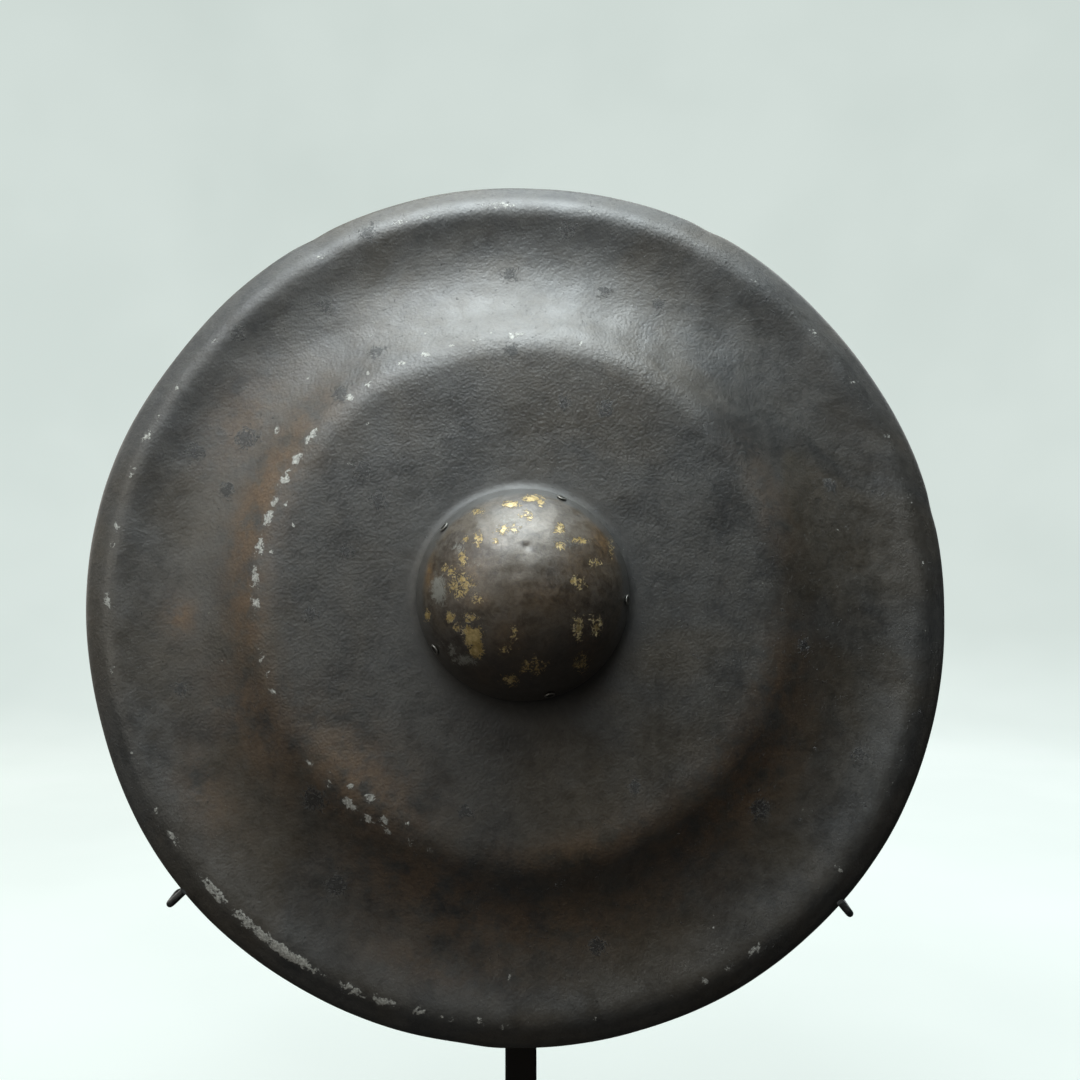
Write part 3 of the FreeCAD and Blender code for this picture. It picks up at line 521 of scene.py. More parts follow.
# Pale wear along the crest and the ridge: angle, spread in degrees, amount.
CREST_WEAR = [
    (236, 8, 1.2), (223, 4, 1.0), (229, 3, 1.0), (246, 3, 0.9), (251, 2.5, 0.95),
    (256, 2, 0.9), (214.5, 2, 0.95), (210.5, 1.5, 0.8), (203, 4, 0.62), (260, 2, 0.7),
    (264, 2, 0.7), (267.5, 1.5, 0.75), (271, 1.5, 0.75), (280, 2, 0.65), (295, 1.5, 0.8),
    (299, 1.5, 0.7), (303, 2, 0.9), (319, 1.5, 0.85), (190, 2, 0.7), (180.5, 2, 0.75),
    (173, 1.5, 0.75), (170, 1.2, 0.8), (162, 2, 0.7), (156, 2, 0.8), (153.5, 1, 0.8),
    (148.5, 1.5, 0.7), (140, 3, 0.55), (130, 3, 0.55), (121, 1.5, 0.85), (108, 1.5, 0.75),
    (104, 1.5, 0.7), (93, 5, 0.78), (80, 2, 0.7), (75, 1.5, 0.65), (69, 1.5, 0.7),
    (64, 1.5, 0.7), (54, 2, 0.6), (42, 1.2, 0.75), (33, 2, 0.55), (24, 1.5, 0.75),
    (14, 2, 0.65), (5, 2, 0.65), (355, 2, 0.6), (346, 3, 0.45), (333, 3, 0.5)]
RIDGE_WEAR = [
    (143, 3, 0.9), (149, 3, 1.1), (154, 3, 1.05), (159, 2, 0.85), (163, 2.5, 1.05),
    (169.5, 3, 1.1), (176, 3, 1.1), (182, 3, 0.9), (193, 2, 0.75), (197, 1.5, 0.85),
    (201, 2, 0.8), (131, 1.5, 0.9), (126, 1.5, 0.9), (118, 3, 0.62), (112, 1.5, 0.85),
    (106, 1.5, 0.8), (100, 2, 0.78), (92, 3, 0.75), (84, 3, 0.6), (77, 1.5, 0.75),
    (67.5, 2, 0.65), (212, 3, 0.7), (218, 1.5, 0.85), (224, 1.5, 0.9), (230, 3, 1.0),
    (235, 3, 0.85), (240, 2, 0.8), (245, 1.5, 0.8), (250, 1.5, 0.65)]
CREST_LINE, CREST_WEAR_WIDTH = 232.6, 4.4
RIDGE_LINE, RIDGE_WEAR_WIDTH = 146.0, 3.8
# Small pale chips off those lines: angle, radius, size in mm.
PALE_CHIPS = [
    (118, 181, 2.0), (120, 174, 1.8), (137, 170, 3.0), (134, 176, 2.4), (125, 152, 2.0),
    (132, 128, 2.2), (143, 119, 1.8), (146, 168, 3.0), (163, 131, 2.0), (159, 139, 2.6),
    (170, 139, 2.0), (233, 136, 5.0), (238, 142, 4.0), (228, 138, 3.0), (243, 137, 2.5),
    (222, 141, 2.0), (110, 160, 2.0), (97, 150, 2.0), (65, 178, 1.6), (300, 210, 1.6),
    (12, 186, 1.6), (192, 171, 1.6), (268, 208, 1.8)]
# Clouds of rust: angle, radius, spread in degrees, width in mm, amount.
RUST_CLOUDS = [
    (160, 154, 24, 15, 1.0), (182, 152, 16, 14, 0.9), (205, 160, 16, 22, 0.75),
    (228, 136, 18, 24, 0.85), (250, 165, 18, 22, 0.65), (318, 160, 24, 22, 0.9),
    (340, 152, 14, 16, 0.7), (183, 192, 3, 9, 1.0), (148, 188, 10, 20, 0.55),
    (272, 178, 34, 22, 0.6), (285, 142, 20, 12, 0.65), (140, 160, 9, 10, 0.6),
    (258, 205, 16, 12, 0.45), (212, 205, 8, 14, 0.5), (20, 150, 16, 12, 0.35)]


# Dark grime all round the boss with painted shadow below it, and a yellowed line along the
# outer edge.
GRIME_SHADE_RADIUS, GRIME_SHADE_WIDTH, GRIME_SHADE_ANGLE, GRIME_SHADE_SPREAD = 58, 13, 272, 62
LIP_RADIUS, LIP_WIDTH, LIP_RISE = 249.2, 1.3, 30


def make_gong_plate():
    """The plate with its hammer marks, uneven outline and crusts, and the amounts of wear."""
    piece = revolved("gong_plate_hammered", plate_section(), PLATE_SEGMENTS)
    drill_cord_holes(piece)
    mesh = piece.data
    points, normals = coordinates(mesh)
    flat = points[:, :2] / MM
    radius = np.hypot(flat[:, 0], flat[:, 1])
    angles = np.degrees(np.arctan2(flat[:, 1], flat[:, 0])) % 360
    outward = flat / radius[:, None]

    # the outline strays from a circle, and carries the crest and the dish with it
    share = np.clip((radius - 190) / 50, 0, 1) ** 2
    stray = outline_shift(angles) * share
    # the ridge wanders a little too
    ring = np.stack([outward[:, 0], outward[:, 1], np.zeros(len(radius))], axis=1)
    wander = 1.6 * soft_noise(ring * MM * 100, 55, 3, seed=3)
    stray += wander * bell(radius - 150, 30)
    moved = points.copy()
    moved[:, :2] += outward * stray[:, None] * MM

    # hammer marks and a soft unevenness, both faces together, fading out at the collar
    dents = sum(dented(points, *marks) for marks in PLATE_MARKS)
    uneven = 0.55 * soft_noise(points, 70, 2, seed=1)
    uneven += 0.16 * soft_noise(points, 22, 3, seed=2)
    fade = np.clip((radius - 60) / 12, 0, 1)
    depth = (dents - uneven * 0.8) * fade
    on_front = normals[:, 2] > 0
    moved[:, 2] -= depth * MM * np.clip(np.abs(normals[:, 2]) * 3, 0, 1)

    # crusts stand up from the front face
    scab = np.zeros(len(points))
    for angle, place, size in SCABS:
        scab += spot(flat, angle, place, size)
    crumb = soft_noise(points, 3.2, 2, seed=7)
    scab = np.clip(scab, 0, 1)
    crust = np.clip(scab * (0.5 + crumb) - 0.2, 0, 1) * on_front
    moved += normals * (crust * 0.25 * MM)[:, None]
    move_points(mesh, moved)

    wear = np.zeros(len(points))
    for spans, line, width in ((CREST_WEAR, CREST_LINE, CREST_WEAR_WIDTH),
                               (RIDGE_WEAR, RIDGE_LINE, RIDGE_WEAR_WIDTH)):
        wear = np.maximum(wear, strongest(angles, spans) * bell(radius - line, width))
    for angle, place, size in PALE_CHIPS:
        wear = np.maximum(wear, 0.95 * spot(flat, angle, place, size))
    wear *= on_front
    rust = np.zeros(len(points))
    for centre, middle, spread, width, much in RUST_CLOUDS:
        rust = np.maximum(rust, much * bell(angle_gap(angles, centre), spread)
                          * bell(radius - middle, width))
    paint(mesh, "wear", wear)
    paint(mesh, "rust", rust)
    paint(mesh, "scab", scab * on_front)
    # grime all round the boss, with painted shadow added below it
    below = 0.30 + 0.70 * bell(angle_gap(angles, GRIME_SHADE_ANGLE), GRIME_SHADE_SPREAD)
    paint(mesh, "grime_and_shade", below * bell(radius - GRIME_SHADE_RADIUS, GRIME_SHADE_WIDTH) * on_front)
    paint(mesh, "lip", bell(radius - LIP_RADIUS, LIP_WIDTH) * (points[:, 2] / MM > LIP_RISE))
    return settle(piece)


CORD_HOLE_ANGLE = 22        # degrees either side of the top
CORD_HOLE_RISE = 26.0
# Depth outwards and radius of the cutter, which leaves a slightly eased outer edge.
CORD_HOLE_RINGS = [(3.0, 4.6), (0.4, 4.05), (-1.0, 4.0), (-5.0, 4.0)]
CORD_HOLE_SIDES = 40


def drill_cord_holes(piece):
    """Two holes for a hanging cord through the rim's wall, near the top."""
    tilt = math.atan2(WIDEST_RADIUS - RIM_REAR_RADIUS, WIDEST_RISE)
    points, faces = [], []
    sides = CORD_HOLE_SIDES
    for side in (-1, 1):
        around = math.radians(90 + CORD_HOLE_ANGLE * side)
        out = Vector((math.cos(around), math.sin(around), 0))
        normal = out * math.cos(tilt) - Vector((0, 0, math.sin(tilt)))
        centre = (out * (RIM_REAR_RADIUS + CORD_HOLE_RISE * math.tan(tilt))
                  + Vector((0, 0, CORD_HOLE_RISE)))
        across = normal.cross(Vector((0, 0, 1))).normalized()
        upward = across.cross(normal)
        first = len(points)
        for depth, radius in CORD_HOLE_RINGS:
            for k in range(sides):
                turn = TURN * k / sides
                points.append((centre + normal * depth + across * radius * math.cos(turn)
                               + upward * radius * math.sin(turn)) * MM)
        rings = len(CORD_HOLE_RINGS) - 1
        for ring in range(rings):
            for k in range(sides):
                a = first + ring * sides + k
                b = first + ring * sides + (k + 1) % sides
                faces.append((a, b, b + sides, a + sides))
        faces.append(tuple(first + k for k in reversed(range(sides))))
        faces.append(tuple(first + rings * sides + k for k in range(sides)))
    cutter = mesh_object("cutter", points, faces)
    cut = piece.modifiers.new("holes", "BOOLEAN")
    cut.object = cutter
    cut.operation = "DIFFERENCE"
    cut.solver = "EXACT"
    bpy.context.view_layer.update()
    ready = piece.evaluated_get(bpy.context.evaluated_depsgraph_get())
    mesh = bpy.data.meshes.new_from_object(ready)
    piece.modifiers.clear()
    old, piece.data = piece.data, mesh
    bpy.data.meshes.remove(old)
    bpy.data.objects.remove(cutter)
    mesh.name = "gong_plate_hammered"
    shade_smooth(mesh)


def iron_patina():
    """Slate and brown iron with a patchy grey layer that is partly painted sheen, rust,
    crusts, grime round the boss with painted shadow below it, and pale worn lines.
    """
    make = Material("iron_patina", on_gong=True)
    radius = make.axis_distance()
    cloud = make.noise(95, 3, warp=0.6)
    mottle = make.noise(26, 4, 0.6, warp=0.4)
    smear = make.noise(9, 5, 0.62)
    speck = make.noise(2.6, 4, 0.7)
    grain = make.noise(1.15, 2, 0.6)
    pebble = make.pebbles(1.7, 0.6)

    slate = make.mix(make.step(mottle, 0.36, 0.62), (0.026, 0.0275, 0.0270),
                     (0.059, 0.058, 0.052))
    brown = make.mix(make.step(smear, 0.35, 0.7), (0.047, 0.036, 0.019),
                     (0.080, 0.062, 0.037))
    colour = make.mix(make.step(cloud, 0.42, 0.64, 0.0, 0.85), slate, brown)
    fine = make.noise(4.2, 5, 0.75, warp=0.5, shift=19)
    colour = make.mix(make.step(fine, 0.40, 0.68, 0.0, 0.45), colour, (0.088, 0.082, 0.072))
    colour = make.mix(make.step(fine, 0.52, 0.34, 0.0, 0.45), colour, (0.020, 0.019, 0.017))
    # a patchy lighter blue-grey, partly a grey film and partly painted sheen
    film_and_sheen = make.times(make.step(make.noise(38, 5, 0.65, shift=40), 0.5, 0.72),
                      make.step(smear, 0.3, 0.75))
    colour = make.mix(make.times(film_and_sheen, 0.4), colour, (0.090, 0.094, 0.094))

    # the crest is rubbed paler by handling
    rubbed = make.times(make.step(radius, 196.0, 230.0), make.step(radius, 240.0, 233.0))
    rubbed = make.times(rubbed, make.step(smear, 0.25, 0.7, 0.35, 1.0))
    colour = make.mix(make.times(rubbed, 0.32), colour, (0.088, 0.090, 0.090))

    rust = make.times(make.attribute("rust"),
                      make.step(make.noise(14, 5, 0.68, shift=11), 0.32, 0.62), clamp=True)
    rust_colour = make.mix(make.step(speck, 0.35, 0.65), (0.124, 0.062, 0.020),
                           (0.195, 0.113, 0.046))
    colour = make.mix(make.times(rust, 0.92), colour, rust_colour)

    # crusts crumble, dark inside a lighter edge
    scab = make.attribute("scab")
    crumb = make.noise(2.9, 3, 0.66, warp=1.8)
    clump = make.math("ADD", make.times(scab, 0.30), crumb)
    crust = make.step(clump, 0.67, 0.70)
    crust_edge = make.math("SUBTRACT", make.step(clump, 0.60, 0.65), crust, clamp=True)
    colour = make.mix(make.times(crust_edge, make.step(scab, 0.15, 0.5)), colour,
                      (0.125, 0.122, 0.112))
    colour = make.mix(make.times(crust, 0.85), colour, (0.012, 0.012, 0.011))

    lip = make.attribute("lip")
    colour = make.mix(make.times(lip, make.step(smear, 0.25, 0.6, 0.2, 0.8)),
                      colour, (0.062, 0.050, 0.018))

    # grime round the boss, darkest below it where it is painted shadow
    grime_and_shade = make.times(make.attribute("grime_and_shade"), make.step(smear, 0.2, 0.6, 0.75, 1.0))
    colour = make.mix(make.times(grime_and_shade, 0.95), colour, (0.006, 0.005, 0.003))

    # pale chips along the crest and the ridge, each in a faint haze
    chip = make.math("ADD", make.times(make.noise(6.5, 5, 0.72, warp=0.8, shift=5), 0.72),
                     make.times(speck, 0.36))
    wear_share = make.attribute("wear")
    limit = make.math("SUBTRACT", 0.80, make.times(wear_share, 0.36))
    above = make.math("SUBTRACT", chip, limit)
    worn = make.step(above, 0.0, 0.035)
    haze = make.step(above, -0.10, 0.04, 0.0, 0.22)
    haze = make.times(haze, make.step(wear_share, 0.05, 0.4))
    colour = make.mix(haze, colour, (0.16, 0.16, 0.145))
    bare = make.mix(make.step(grain, 0.35, 0.7), (0.36, 0.355, 0.32), (0.72, 0.72, 0.67))
    colour = make.mix(worn, colour, bare)
    stray = make.step(make.noise(3.1, 2, 0.5, shift=77), 0.785, 0.80)
    colour = make.mix(make.times(stray, 0.7), colour, (0.30, 0.29, 0.25))

    rough = make.step(mottle, 0.3, 0.7, 0.40, 0.52)
    rough = make.blend(make.step(smear, 0.3, 0.8, 0.0, 0.5), rough, 0.60)
    rough = make.blend(make.step(radius, 233.0, 240.0, 0.0, 0.9), rough, 0.70)
    rough = make.blend(make.times(grime_and_shade, 0.9), rough, 0.90)
    rough = make.blend(rust, rough, 0.72)
    rough = make.blend(crust, rough, 0.66)
    rough = make.blend(worn, rough, 0.62)

    # the fine pitting is deepest on the plateau, and fades out at the collar
    pitting = make.times(make.step(radius, 120.0, 160.0, 1.0, 0.75),
                         make.step(radius, 60.0, 76.0, 0.25, 1.0))
    make.bump([
        (make.noise(16, 3, 0.5, shift=3), 0.35, 0.8),
        (smear, 0.34, 0.8),
        (fine, 0.16, 0.8),
        (pebble, 0.15, pitting),
        (grain, 0.13, pitting),
        (crust, 1.7, 1.0),
        (worn, 0.10, 0.9),
    ])
    return make.finish(colour, rough, IOR=2.1)


plate = make_gong_plate()
plate.data.materials.append(iron_patina())
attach(plate, "gong")
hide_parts("gong_plate")

# ------------------------------------------------------------------ the boss cap

# A straight skirt below a ball-shaped dome: points are (radius, height) in mm.
CAP_SLOPE = math.radians(65)
CAP_DOME = 60.0
CAP_EDGE = Vector((57.6, 93.6))
CAP_WALL = 1.5
SKIRT_STEPS, DOME_STEPS = 12, 90
CAP_SEGMENTS = 300
cap_joint = Vector((CAP_DOME * math.sin(CAP_SLOPE), 0))
cap_joint.y = CAP_EDGE.y + (CAP_EDGE.x - cap_joint.x) * math.tan(CAP_SLOPE)
CAP_MIDDLE_RISE = cap_joint.y - CAP_DOME * math.cos(CAP_SLOPE)


def cap_section():
    """The outer and the inner line, each from the skirt's thin edge to the apex."""
    outer = [CAP_EDGE.lerp(cap_joint, i / SKIRT_STEPS) for i in range(SKIRT_STEPS + 1)]
    for i in range(1, DOME_STEPS + 1):
        turn = CAP_SLOPE * (1 - i / DOME_STEPS)
        outer.append(Vector((CAP_DOME * math.sin(turn),
                             CAP_MIDDLE_RISE + CAP_DOME * math.cos(turn))))
    inner = []
    for index, point in enumerate(outer):
        normal = Vector((math.sin(CAP_SLOPE), math.cos(CAP_SLOPE)))
        if index > SKIRT_STEPS:
            normal = (point - Vector((0, CAP_MIDDLE_RISE))) / CAP_DOME
        thin = CAP_WALL * min(1.0, 0.35 + index / 10)
        inner.append(point - normal * thin)
    return outer, inner


# Bare brass on the boss: mm right and up of its axis, reach across and up, amount.
BRASS_PATCHES = [
    (-7, 46.5, 6, 3, 1.0), (5, 50.5, 7, 3, 1.05), (9, 48, 3, 4, 0.9), (-25, 43, 4.5, 3, 0.85),
    (1, 40, 5.5, 4, 0.75), (-8.5, 31, 8, 4.5, 0.85), (-24, 27, 3.5, 5.5, 0.9),
    (-31, 27, 2.5, 3, 0.85), (-15, 25, 2, 2.5, 0.8), (19, 33, 4.5, 5.5, 0.8),
    (18.5, 23, 4, 3, 0.9), (29, 26.5, 6.5, 3, 0.85), (37, 14, 5, 3.5, 0.9),
    (28, 4.5, 5.5, 5, 0.95), (-32.5, 16.5, 3, 5.5, 0.9), (-42, 12, 2, 2.5, 0.85),
    (-38, 10, 3, 3.5, 0.8), (-33, 2.5, 8, 7.5, 1.05), (-24, -5, 5, 4, 0.75),
    (-39, -14, 3.2, 4, 1.0), (-35, -19, 3, 3, 0.9), (-28, -14.5, 5, 3.5, 0.85),
    (-27, -24, 5.5, 7, 1.3), (-25, -31, 4.5, 4.5, 1.3), (-5.5, -22, 3.5, 6, 0.68),
    (-10, -31, 5, 3.5, 0.7), (28, -20, 5, 8, 0.85), (37, -19, 5, 7, 0.9), (5, -40, 9, 6, 0.8),
    (-7, -46.5, 5.5, 4, 0.95), (30, -38, 6, 7, 0.75), (-51, -12, 2.2, 4.5, 0.9),
    (47, 24, 3, 9, 0.62)]
# Gaps in them: mm right and up, size in mm.
BRASS_HOLES = [
    (-33.5, 3, 3.0), (-26, -18.5, 1.8), (37, 13, 2.2), (29, 6.5, 2.4), (-8, 30, 2.6),
    (33, -22, 3.0)]
# Orange tarnish, and grey deposits with the patches highest on the dome standing for painted
# sheen, given like the bare brass.
ORANGE_PATCHES = [
    (44, 28, 8, 12, 1.0), (-51, 12, 3.5, 11, 1.0), (-24, -6, 7, 4.5, 0.8),
    (-8, -26, 9, 10, 0.75), (33, -33, 10, 14, 0.9), (4, -42, 14, 8, 0.7),
    (-30, 8, 12, 16, 0.5), (30, 12, 14, 14, 0.45),
    (-20, -44, 9, 6, 0.6), (12, -4, 22, 10, 0.45)]
GREY_PATCHES = [
    (-45, 1, 5, 10, 1.1), (-31, -36, 8, 3.5, 1.0), (-38, -31, 3, 5, 0.8), (-34, 23, 6, 5, 0.7),
    (22, 25, 8, 6, 0.55), (-44, -28, 3, 4, 0.6), (-26, 12, 4, 4, 0.6), (-10, 36, 14, 8, 0.5)]
# Dents beaten into the dome: mm right and up, size and depth in mm.
DOME_DENTS = [(1, 22, 2.4, 0.55), (-6, 8, 5.0, 0.5), (-36, -14, 6.0, 0.45)]


def round_bump(x, y, right, up, size):
    """1 at a point of the dome, fading to 0 round it."""
    return np.exp(-((x - right) ** 2 + (y - up) ** 2) / size ** 2)


def strewn(x, y, patches):
    """Strength of elliptical patches at each point, seen along the axis, in mm."""
    total = np.zeros(len(x))
    for right, up, wide, tall, much in patches:
        total = np.maximum(total, much * np.exp(-((x - right) / wide) ** 2
                                                - ((y - up) / tall) ** 2))
    return total


def make_boss_cap():
    """The beaten cap: an outer and an inner skin that meet at the skirt's edge."""
    outer, inner = cap_section()
    segments = CAP_SEGMENTS
    turns = np.arange(segments) * TURN / segments
    points, faces = [], []
    rows = len(outer) - 1
    for line in (outer, inner):
        for r in range(rows):
            for turn in turns:
                points.append((line[r].x * math.cos(turn), line[r].x * math.sin(turn),
                               line[r].y))
    tops = []
    for line in (outer, inner):
        tops.append(len(points))
        points.append((0.0, 0.0, line[-1].y))
    base = [0, rows * segments]
    for side in (0, 1):
        for r in range(rows):
            for s in range(segments):
                after = (s + 1) % segments
                a = base[side] + r * segments + s
                b = base[side] + r * segments + after
                if r == rows - 1:
                    face = (a, b, tops[side])
                else:
                    face = (a, b, b + segments, a + segments)
                faces.append(face if side == 0 else face[::-1])
    for s in range(segments):
        after = (s + 1) % segments
        faces.append((s, base[1] + s, base[1] + after, after))
    piece = mesh_object("boss_cap_beaten", np.array(points) * MM, faces)
    mesh = piece.data
    places, normals = coordinates(mesh)
    x, y = places[:, 0] / MM, places[:, 1] / MM
    radius = np.hypot(x, y)
    dents = sum(dented(places, *marks) for marks in CAP_MARKS)
    for right, up, size, deep in DOME_DENTS:
        dents += deep * round_bump(x, y, right, up, size)
    uneven = 0.4 * soft_noise(places, 30, 3, seed=5) + 0.1 * soft_noise(places, 7, 3, seed=6)
    fade = np.clip((57 - radius) / 6, 0, 1)
    depth = np.clip(0.35 + dents - uneven, 0, None) * fade
    outside = normals[:, 2] > 0
    away = places - np.array([0, 0, CAP_MIDDLE_RISE * MM])
    away /= np.linalg.norm(away, axis=1)[:, None]
    move_points(mesh, places - away * (depth * MM)[:, None])
    brass = strewn(x, y, BRASS_PATCHES)
    for right, up, size in BRASS_HOLES:
        brass -= 0.5 * round_bump(x, y, right, up, size)
    paint(mesh, "brass", brass * outside)
    paint(mesh, "orange", strewn(x, y, ORANGE_PATCHES) * outside)
    paint(mesh, "grey", strewn(x, y, GREY_PATCHES) * outside)
    return settle(piece)


def boss_brass():
    """Brown darkened brass with painted shade on its lower part, and bare, orange and grey
    patches, the grey partly painted sheen.
    """
    make = Material("boss_brass", on_gong=True)
    radius = make.axis_distance()
    cloud = make.noise(24, 4, 0.6, warp=0.8)
    smear = make.noise(7, 5, 0.68, warp=0.5)
    speck = make.noise(2.2, 4, 0.7)
    grain = make.noise(0.9, 2, 0.6)
    dark = make.mix(make.step(cloud, 0.40, 0.60), (0.038, 0.023, 0.010), (0.112, 0.080, 0.045))
    colour = make.mix(make.step(smear, 0.42, 0.72, 0.0, 0.6), dark, (0.145, 0.130, 0.108))
    fine = make.noise(2.8, 6, 0.78, warp=0.7, shift=14)
    colour = make.mix(make.step(fine, 0.42, 0.66, 0.0, 0.6), colour, (0.175, 0.155, 0.125))
    colour = make.mix(make.step(fine, 0.50, 0.34, 0.0, 0.6), colour, (0.026, 0.018, 0.012))
    orange = make.times(make.attribute("orange"),
                        make.step(smear, 0.30, 0.62, 0.1, 1.0), clamp=True)
    orange_colour = make.mix(make.step(speck, 0.3, 0.7), (0.130, 0.062, 0.016),
                             (0.29, 0.165, 0.045))
    colour = make.mix(make.times(orange, 0.9), colour, orange_colour)
    # painted shade: darker towards the bottom of the boss, with a ragged edge
    below = make.vector("DOT_PRODUCT", make.place, (0, -1, 0)).outputs["Value"]
    shade_below = make.step(make.math("ADD", below, make.times(smear, 44.0)), 20.0, 72.0)
    colour = make.mix(make.times(shade_below, 0.66), colour, (0.020, 0.011, 0.005))

    # grey deposits, and painted sheen in the patches high on the dome
    grey = make.math("ADD", make.times(make.attribute("grey"), 0.55),
                     make.times(make.noise(4.0, 6, 0.80, warp=1.6, shift=31), 1.5))
    grey = make.step(grey, 1.02, 1.22)
    colour = make.mix(make.times(grey, 0.8), colour, (0.33, 0.33, 0.29))

    # the dark skin flakes off in lace-like patches, with a burnt rim round each
    flake = make.math("ADD", make.times(make.noise(3.6, 6, 0.80, warp=1.6), 1.9),
                      make.times(speck, 0.45))
    flake = make.math("ADD", flake, make.times(make.attribute("brass"), 0.80))
    above = make.math("SUBTRACT", flake, 1.62)
    solid = make.step(make.attribute("brass"), 0.75, 0.98)
    hole = make.step(make.noise(2.6, 3, 0.6, warp=1.2, shift=53),
                     make.blend(solid, 0.50, 0.66), make.blend(solid, 0.53, 0.69))
    bare = make.times(make.step(above, 0.0, 0.012), make.less(make.times(hole, 0.92)))
    rim = make.times(make.step(above, -0.14, 0.0), make.less(bare))
    colour = make.mix(make.times(rim, 0.5), colour, (0.040, 0.025, 0.014))

    # the skirt has the plate's own grey
    skirt = make.step(make.math("ADD", radius, make.times(smear, 4.0)), 53.5, 57.0)
    skirt = make.times(skirt, make.less(make.times(shade_below, 0.85)))
    colour = make.mix(make.times(skirt, 0.85), colour, (0.050, 0.0505, 0.047))
    gold = make.mix(make.step(make.noise(3.0, 4, 0.7, shift=9), 0.35, 0.7),
                    (0.46, 0.31, 0.085), (0.86, 0.67, 0.30))
    colour = make.mix(bare, colour, gold)
    metal = make.blend(bare, make.blend(skirt, 0.30, 0.0), 0.40)
    rough = make.blend(bare, make.step(smear, 0.3, 0.7, 0.40, 0.56), 0.42)
    rough = make.blend(grey, rough, 0.6)
    rough = make.blend(make.times(shade_below, 0.6), rough, 0.62)
    make.bump([
        (make.noise(11, 3, 0.5, shift=2), 0.30, 0.8),
        (smear, 0.20, 0.7),
        (fine, 0.14, 0.8),
        (grain, 0.06, 0.6),
        (bare, -0.25, 1.0),
    ])
    return make.finish(colour, rough, Metallic=metal, IOR=2.5)


cap = make_boss_cap()
cap.data.materials.append(boss_brass())
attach(cap, "gong")
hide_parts("boss_cap")

# ------------------------------------------------------------------ rivets

RIVETS = 5
RIVET_START, RIVET_RISE = 68.2, 98.2    # first angle in degrees, height in mm
RIVET_SIDES = 28
# Radius share, height: from inside the skirt, out under the head, over its dished top.
RIVET_SECTION = [(0.42, -3.6), (0.42, 0.05), (0.86, 0.05), (0.97, 0.22), (1.0, 0.5),
                 (0.95, 0.78), (0.84, 0.88), (0.6, 0.72), (0.3, 0.62)]


def rivet_frame(number):
    """Gong-frame matrix on the skirt's outer cone, Z out of it, X towards the boss's top."""
    around = math.radians(RIVET_START + number * 360 / RIVETS)
    out = Vector((math.cos(around), math.sin(around), 0))
    normal = out * math.sin(CAP_SLOPE) + Vector((0, 0, math.cos(CAP_SLOPE)))
    radius = CAP_EDGE.x - (RIVET_RISE - CAP_EDGE.y) / math.tan(CAP_SLOPE)
    uphill = -out * math.cos(CAP_SLOPE) + Vector((0, 0, math.sin(CAP_SLOPE)))
    across = normal.cross(uphill)
    turn = Matrix((uphill, across, normal)).transposed().to_4x4()
    return Matrix.Translation((out * radius + Vector((0, 0, RIVET_RISE))) * MM) @ turn


def make_rivet(number, chance):
    """A flattened hand-set head that stands a little off the skirt on its uphill side."""
    sides = RIVET_SIDES
    lift = chance.uniform(0.25, 0.5)
    wobble = [1 + chance.uniform(-0.06, 0.06) for _ in range(sides)]
    smooth = [(wobble[k - 1] + wobble[k] + wobble[(k + 1) % sides]) / 3 for k in range(sides)]
    size = chance.uniform(2.75, 3.1)
    points, faces = [], []
    for share, height in RIVET_SECTION:
        for k in range(sides):
            turn = TURN * k / sides
            x = size * share * smooth[k] * math.cos(turn)
            y = size * share * smooth[k] * math.sin(turn)
            rise = height
            if height > 0:
                rise += lift * (x / size + 1) / 2 + chance.uniform(-0.025, 0.025)
            points.append(Vector((x, y, rise)) * MM)
    rows = len(RIVET_SECTION) - 1
    for row in range(rows):
        for k in range(sides):
            a, b = row * sides + k, row * sides + (k + 1) % sides
            faces.append((a, b, b + sides, a + sides))
    faces.append(tuple(reversed(range(sides))))
    last = rows * sides
    centre = len(points)
    points.append(Vector((0, 0, 0.6 + lift / 2)) * MM)
    faces += [(last + k, last + (k + 1) % sides, centre) for k in range(sides)]
    piece = mesh_object("boss_rivet_head_%d" % (number + 1), points, faces)
    piece.data.transform(rivet_frame(number))
    return settle(piece)


def rivet_iron():
    """Dark iron, rubbed bright along its edges."""
    make = Material("rivet_iron", on_gong=True)
    smear = make.noise(1.6, 4, 0.65)
    edge = make.step(make.node("NewGeometry").outputs["Pointiness"], 0.50, 0.56)
    colour = make.mix(make.step(smear, 0.35, 0.65), (0.034, 0.030, 0.026),
                      (0.085, 0.080, 0.072))
    colour = make.mix(make.times(edge, 0.8), colour, (0.50, 0.49, 0.45))
    make.bump([(smear, 0.10, 0.8), (make.noise(0.5, 2), 0.03, 0.6)])
    return make.finish(colour, make.step(smear, 0.3, 0.7, 0.32, 0.5), Metallic=0.6)


rivet_material = rivet_iron()
rivet_chance = random.Random(5)
for number in range(RIVETS):
    rivet = make_rivet(number, rivet_chance)
    rivet.data.materials.append(rivet_material)
    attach(rivet, "gong")
    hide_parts("boss_rivet_%d" % (number + 1))

# ------------------------------------------------------------------ the stand's finishes


def powder_coat():
    """Satin black powder coat, dusty and lightly scuffed."""
    make = Material("black_powder_coat")
    orange_peel = make.noise(1.1, 2, 0.5)
    dust = make.noise(38, 5, 0.65)
    scuff = make.step(make.noise(6, 5, 0.75, warp=1.0), 0.66, 0.72)
    colour = make.mix(make.step(dust, 0.4, 0.7, 0.0, 0.5), (0.0085, 0.0095, 0.0100),
                      (0.020, 0.0215, 0.022))
    colour = make.mix(make.times(scuff, 0.35), colour, (0.050, 0.052, 0.052))
    rough = make.blend(scuff, make.step(dust, 0.3, 0.7, 0.38, 0.52), 0.62)
    make.bump([(orange_peel, 0.05, 0.7), (make.noise(7, 3), 0.05, 0.5)])
    return make.finish(colour, rough, IOR=1.5)


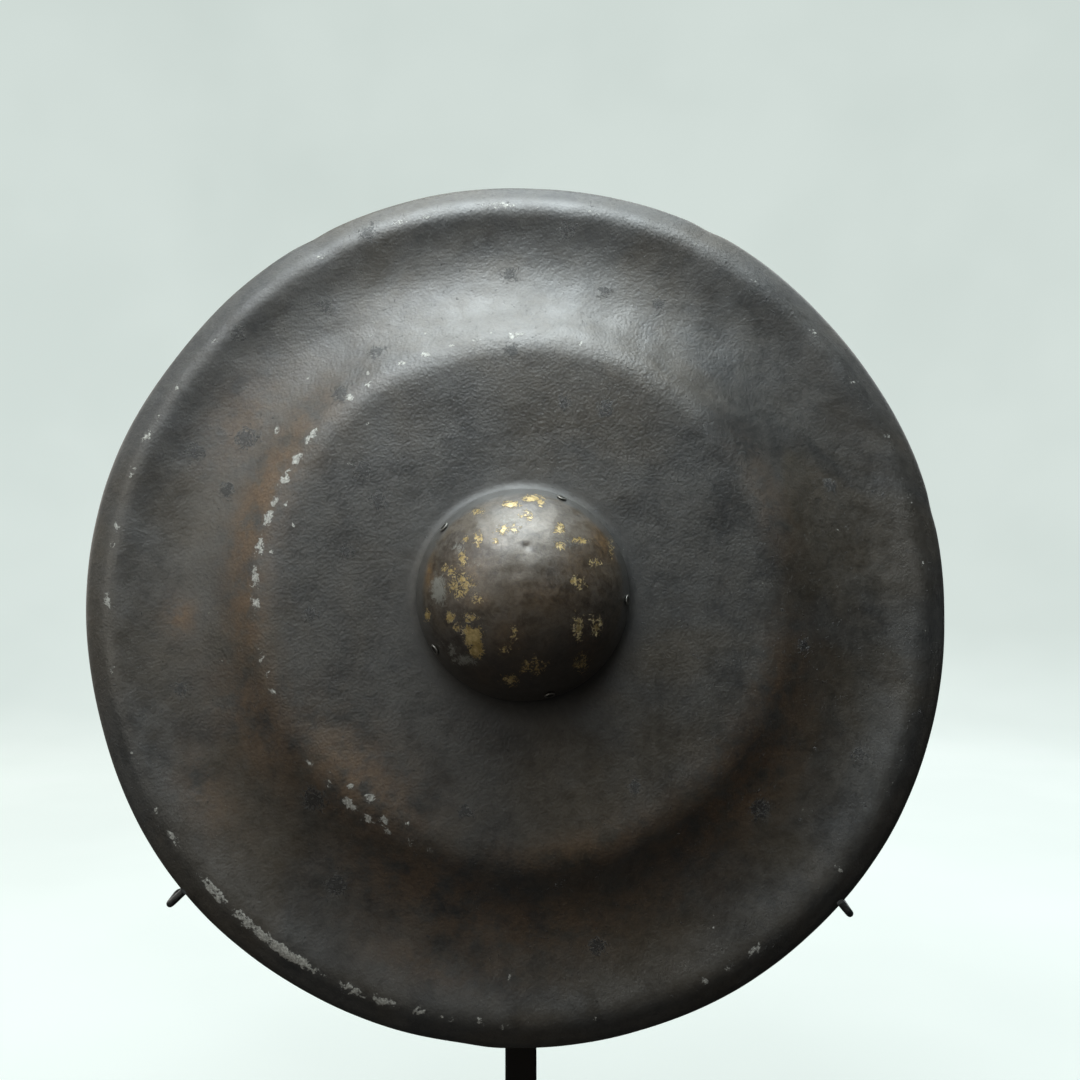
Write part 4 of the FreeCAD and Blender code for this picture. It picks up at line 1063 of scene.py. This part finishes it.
def rod_paint():
    """Thin dark grey paint, chipped to the steel."""
    make = Material("rod_paint")
    streak = make.noise(3.0, 4, 0.6)
    chip = make.step(make.noise(2.2, 5, 0.75, shift=4), 0.63, 0.68)
    colour = make.mix(make.step(streak, 0.35, 0.65), (0.028, 0.029, 0.028),
                      (0.066, 0.067, 0.064))
    colour = make.mix(make.times(chip, 0.7), colour, (0.20, 0.19, 0.18))
    rough = make.blend(chip, 0.46, 0.36)
    make.bump([(streak, 0.08, 0.7), (chip, -0.06, 0.8)])
    return make.finish(colour, rough, Metallic=make.blend(chip, 0.15, 0.8))


def black_oxide():
    """Blackened steel of the fasteners."""
    make = Material("black_oxide")
    smear = make.noise(2.4, 4, 0.65)
    colour = make.mix(make.step(smear, 0.35, 0.7), (0.018, 0.018, 0.020),
                      (0.046, 0.045, 0.046))
    make.bump([(smear, 0.05, 0.6), (make.noise(0.6, 2), 0.02, 0.5)])
    return make.finish(colour, make.step(smear, 0.3, 0.7, 0.30, 0.46), Metallic=0.55)


def moulded_plastic():
    """Sparked black plastic of the post's cap."""
    make = Material("moulded_plastic")
    spark = make.noise(0.7, 3, 0.6)
    colour = make.mix(make.step(make.noise(12, 3), 0.4, 0.7), (0.012, 0.012, 0.013),
                      (0.024, 0.024, 0.024))
    make.bump([(spark, 0.04, 0.7)])
    return make.finish(colour, make.step(spark, 0.3, 0.7, 0.5, 0.64))


def black_rubber():
    """Matt rubber with a grey bloom."""
    make = Material("black_rubber")
    bloom = make.noise(4, 5, 0.7)
    colour = make.mix(make.step(bloom, 0.4, 0.75), (0.014, 0.014, 0.014),
                      (0.044, 0.043, 0.041))
    make.bump([(make.noise(0.8, 3), 0.05, 0.6)])
    return make.finish(colour, make.step(bloom, 0.3, 0.7, 0.68, 0.86))


def pressed_felt():
    """Dark felt with its fibres pressed one way."""
    make = Material("pressed_felt")
    stretched = make.vector("MULTIPLY", make.place, (1, 3.2, 1)).outputs[0]
    fibre = make.noise(1.6, 5, 0.75, place=stretched, warp=2.2)
    cloud = make.noise(22, 3)
    colour = make.mix(fibre, (0.016, 0.017, 0.019), (0.060, 0.062, 0.066))
    colour = make.mix(make.step(cloud, 0.4, 0.7, 0.0, 0.4), colour, (0.034, 0.034, 0.036))
    make.bump([(fibre, 0.25, 0.9)])
    return make.finish(colour, 0.95, Sheen_Weight=0.35, Sheen_Roughness=0.6)


STAND_FINISHES = {
    "black_steel": powder_coat(),
    "rod_steel": rod_paint(),
    "fastener_steel": black_oxide(),
    "cap_plastic": moulded_plastic(),
    "bumper_rubber": black_rubber(),
    "felt": pressed_felt(),
}
for part in frame["record"]["subparts"]:
    finish = STAND_FINISHES.get(part["material_slot"])
    if finish:
        for slot in frame["nodes"][part["node"]].material_slots:
            slot.material = finish
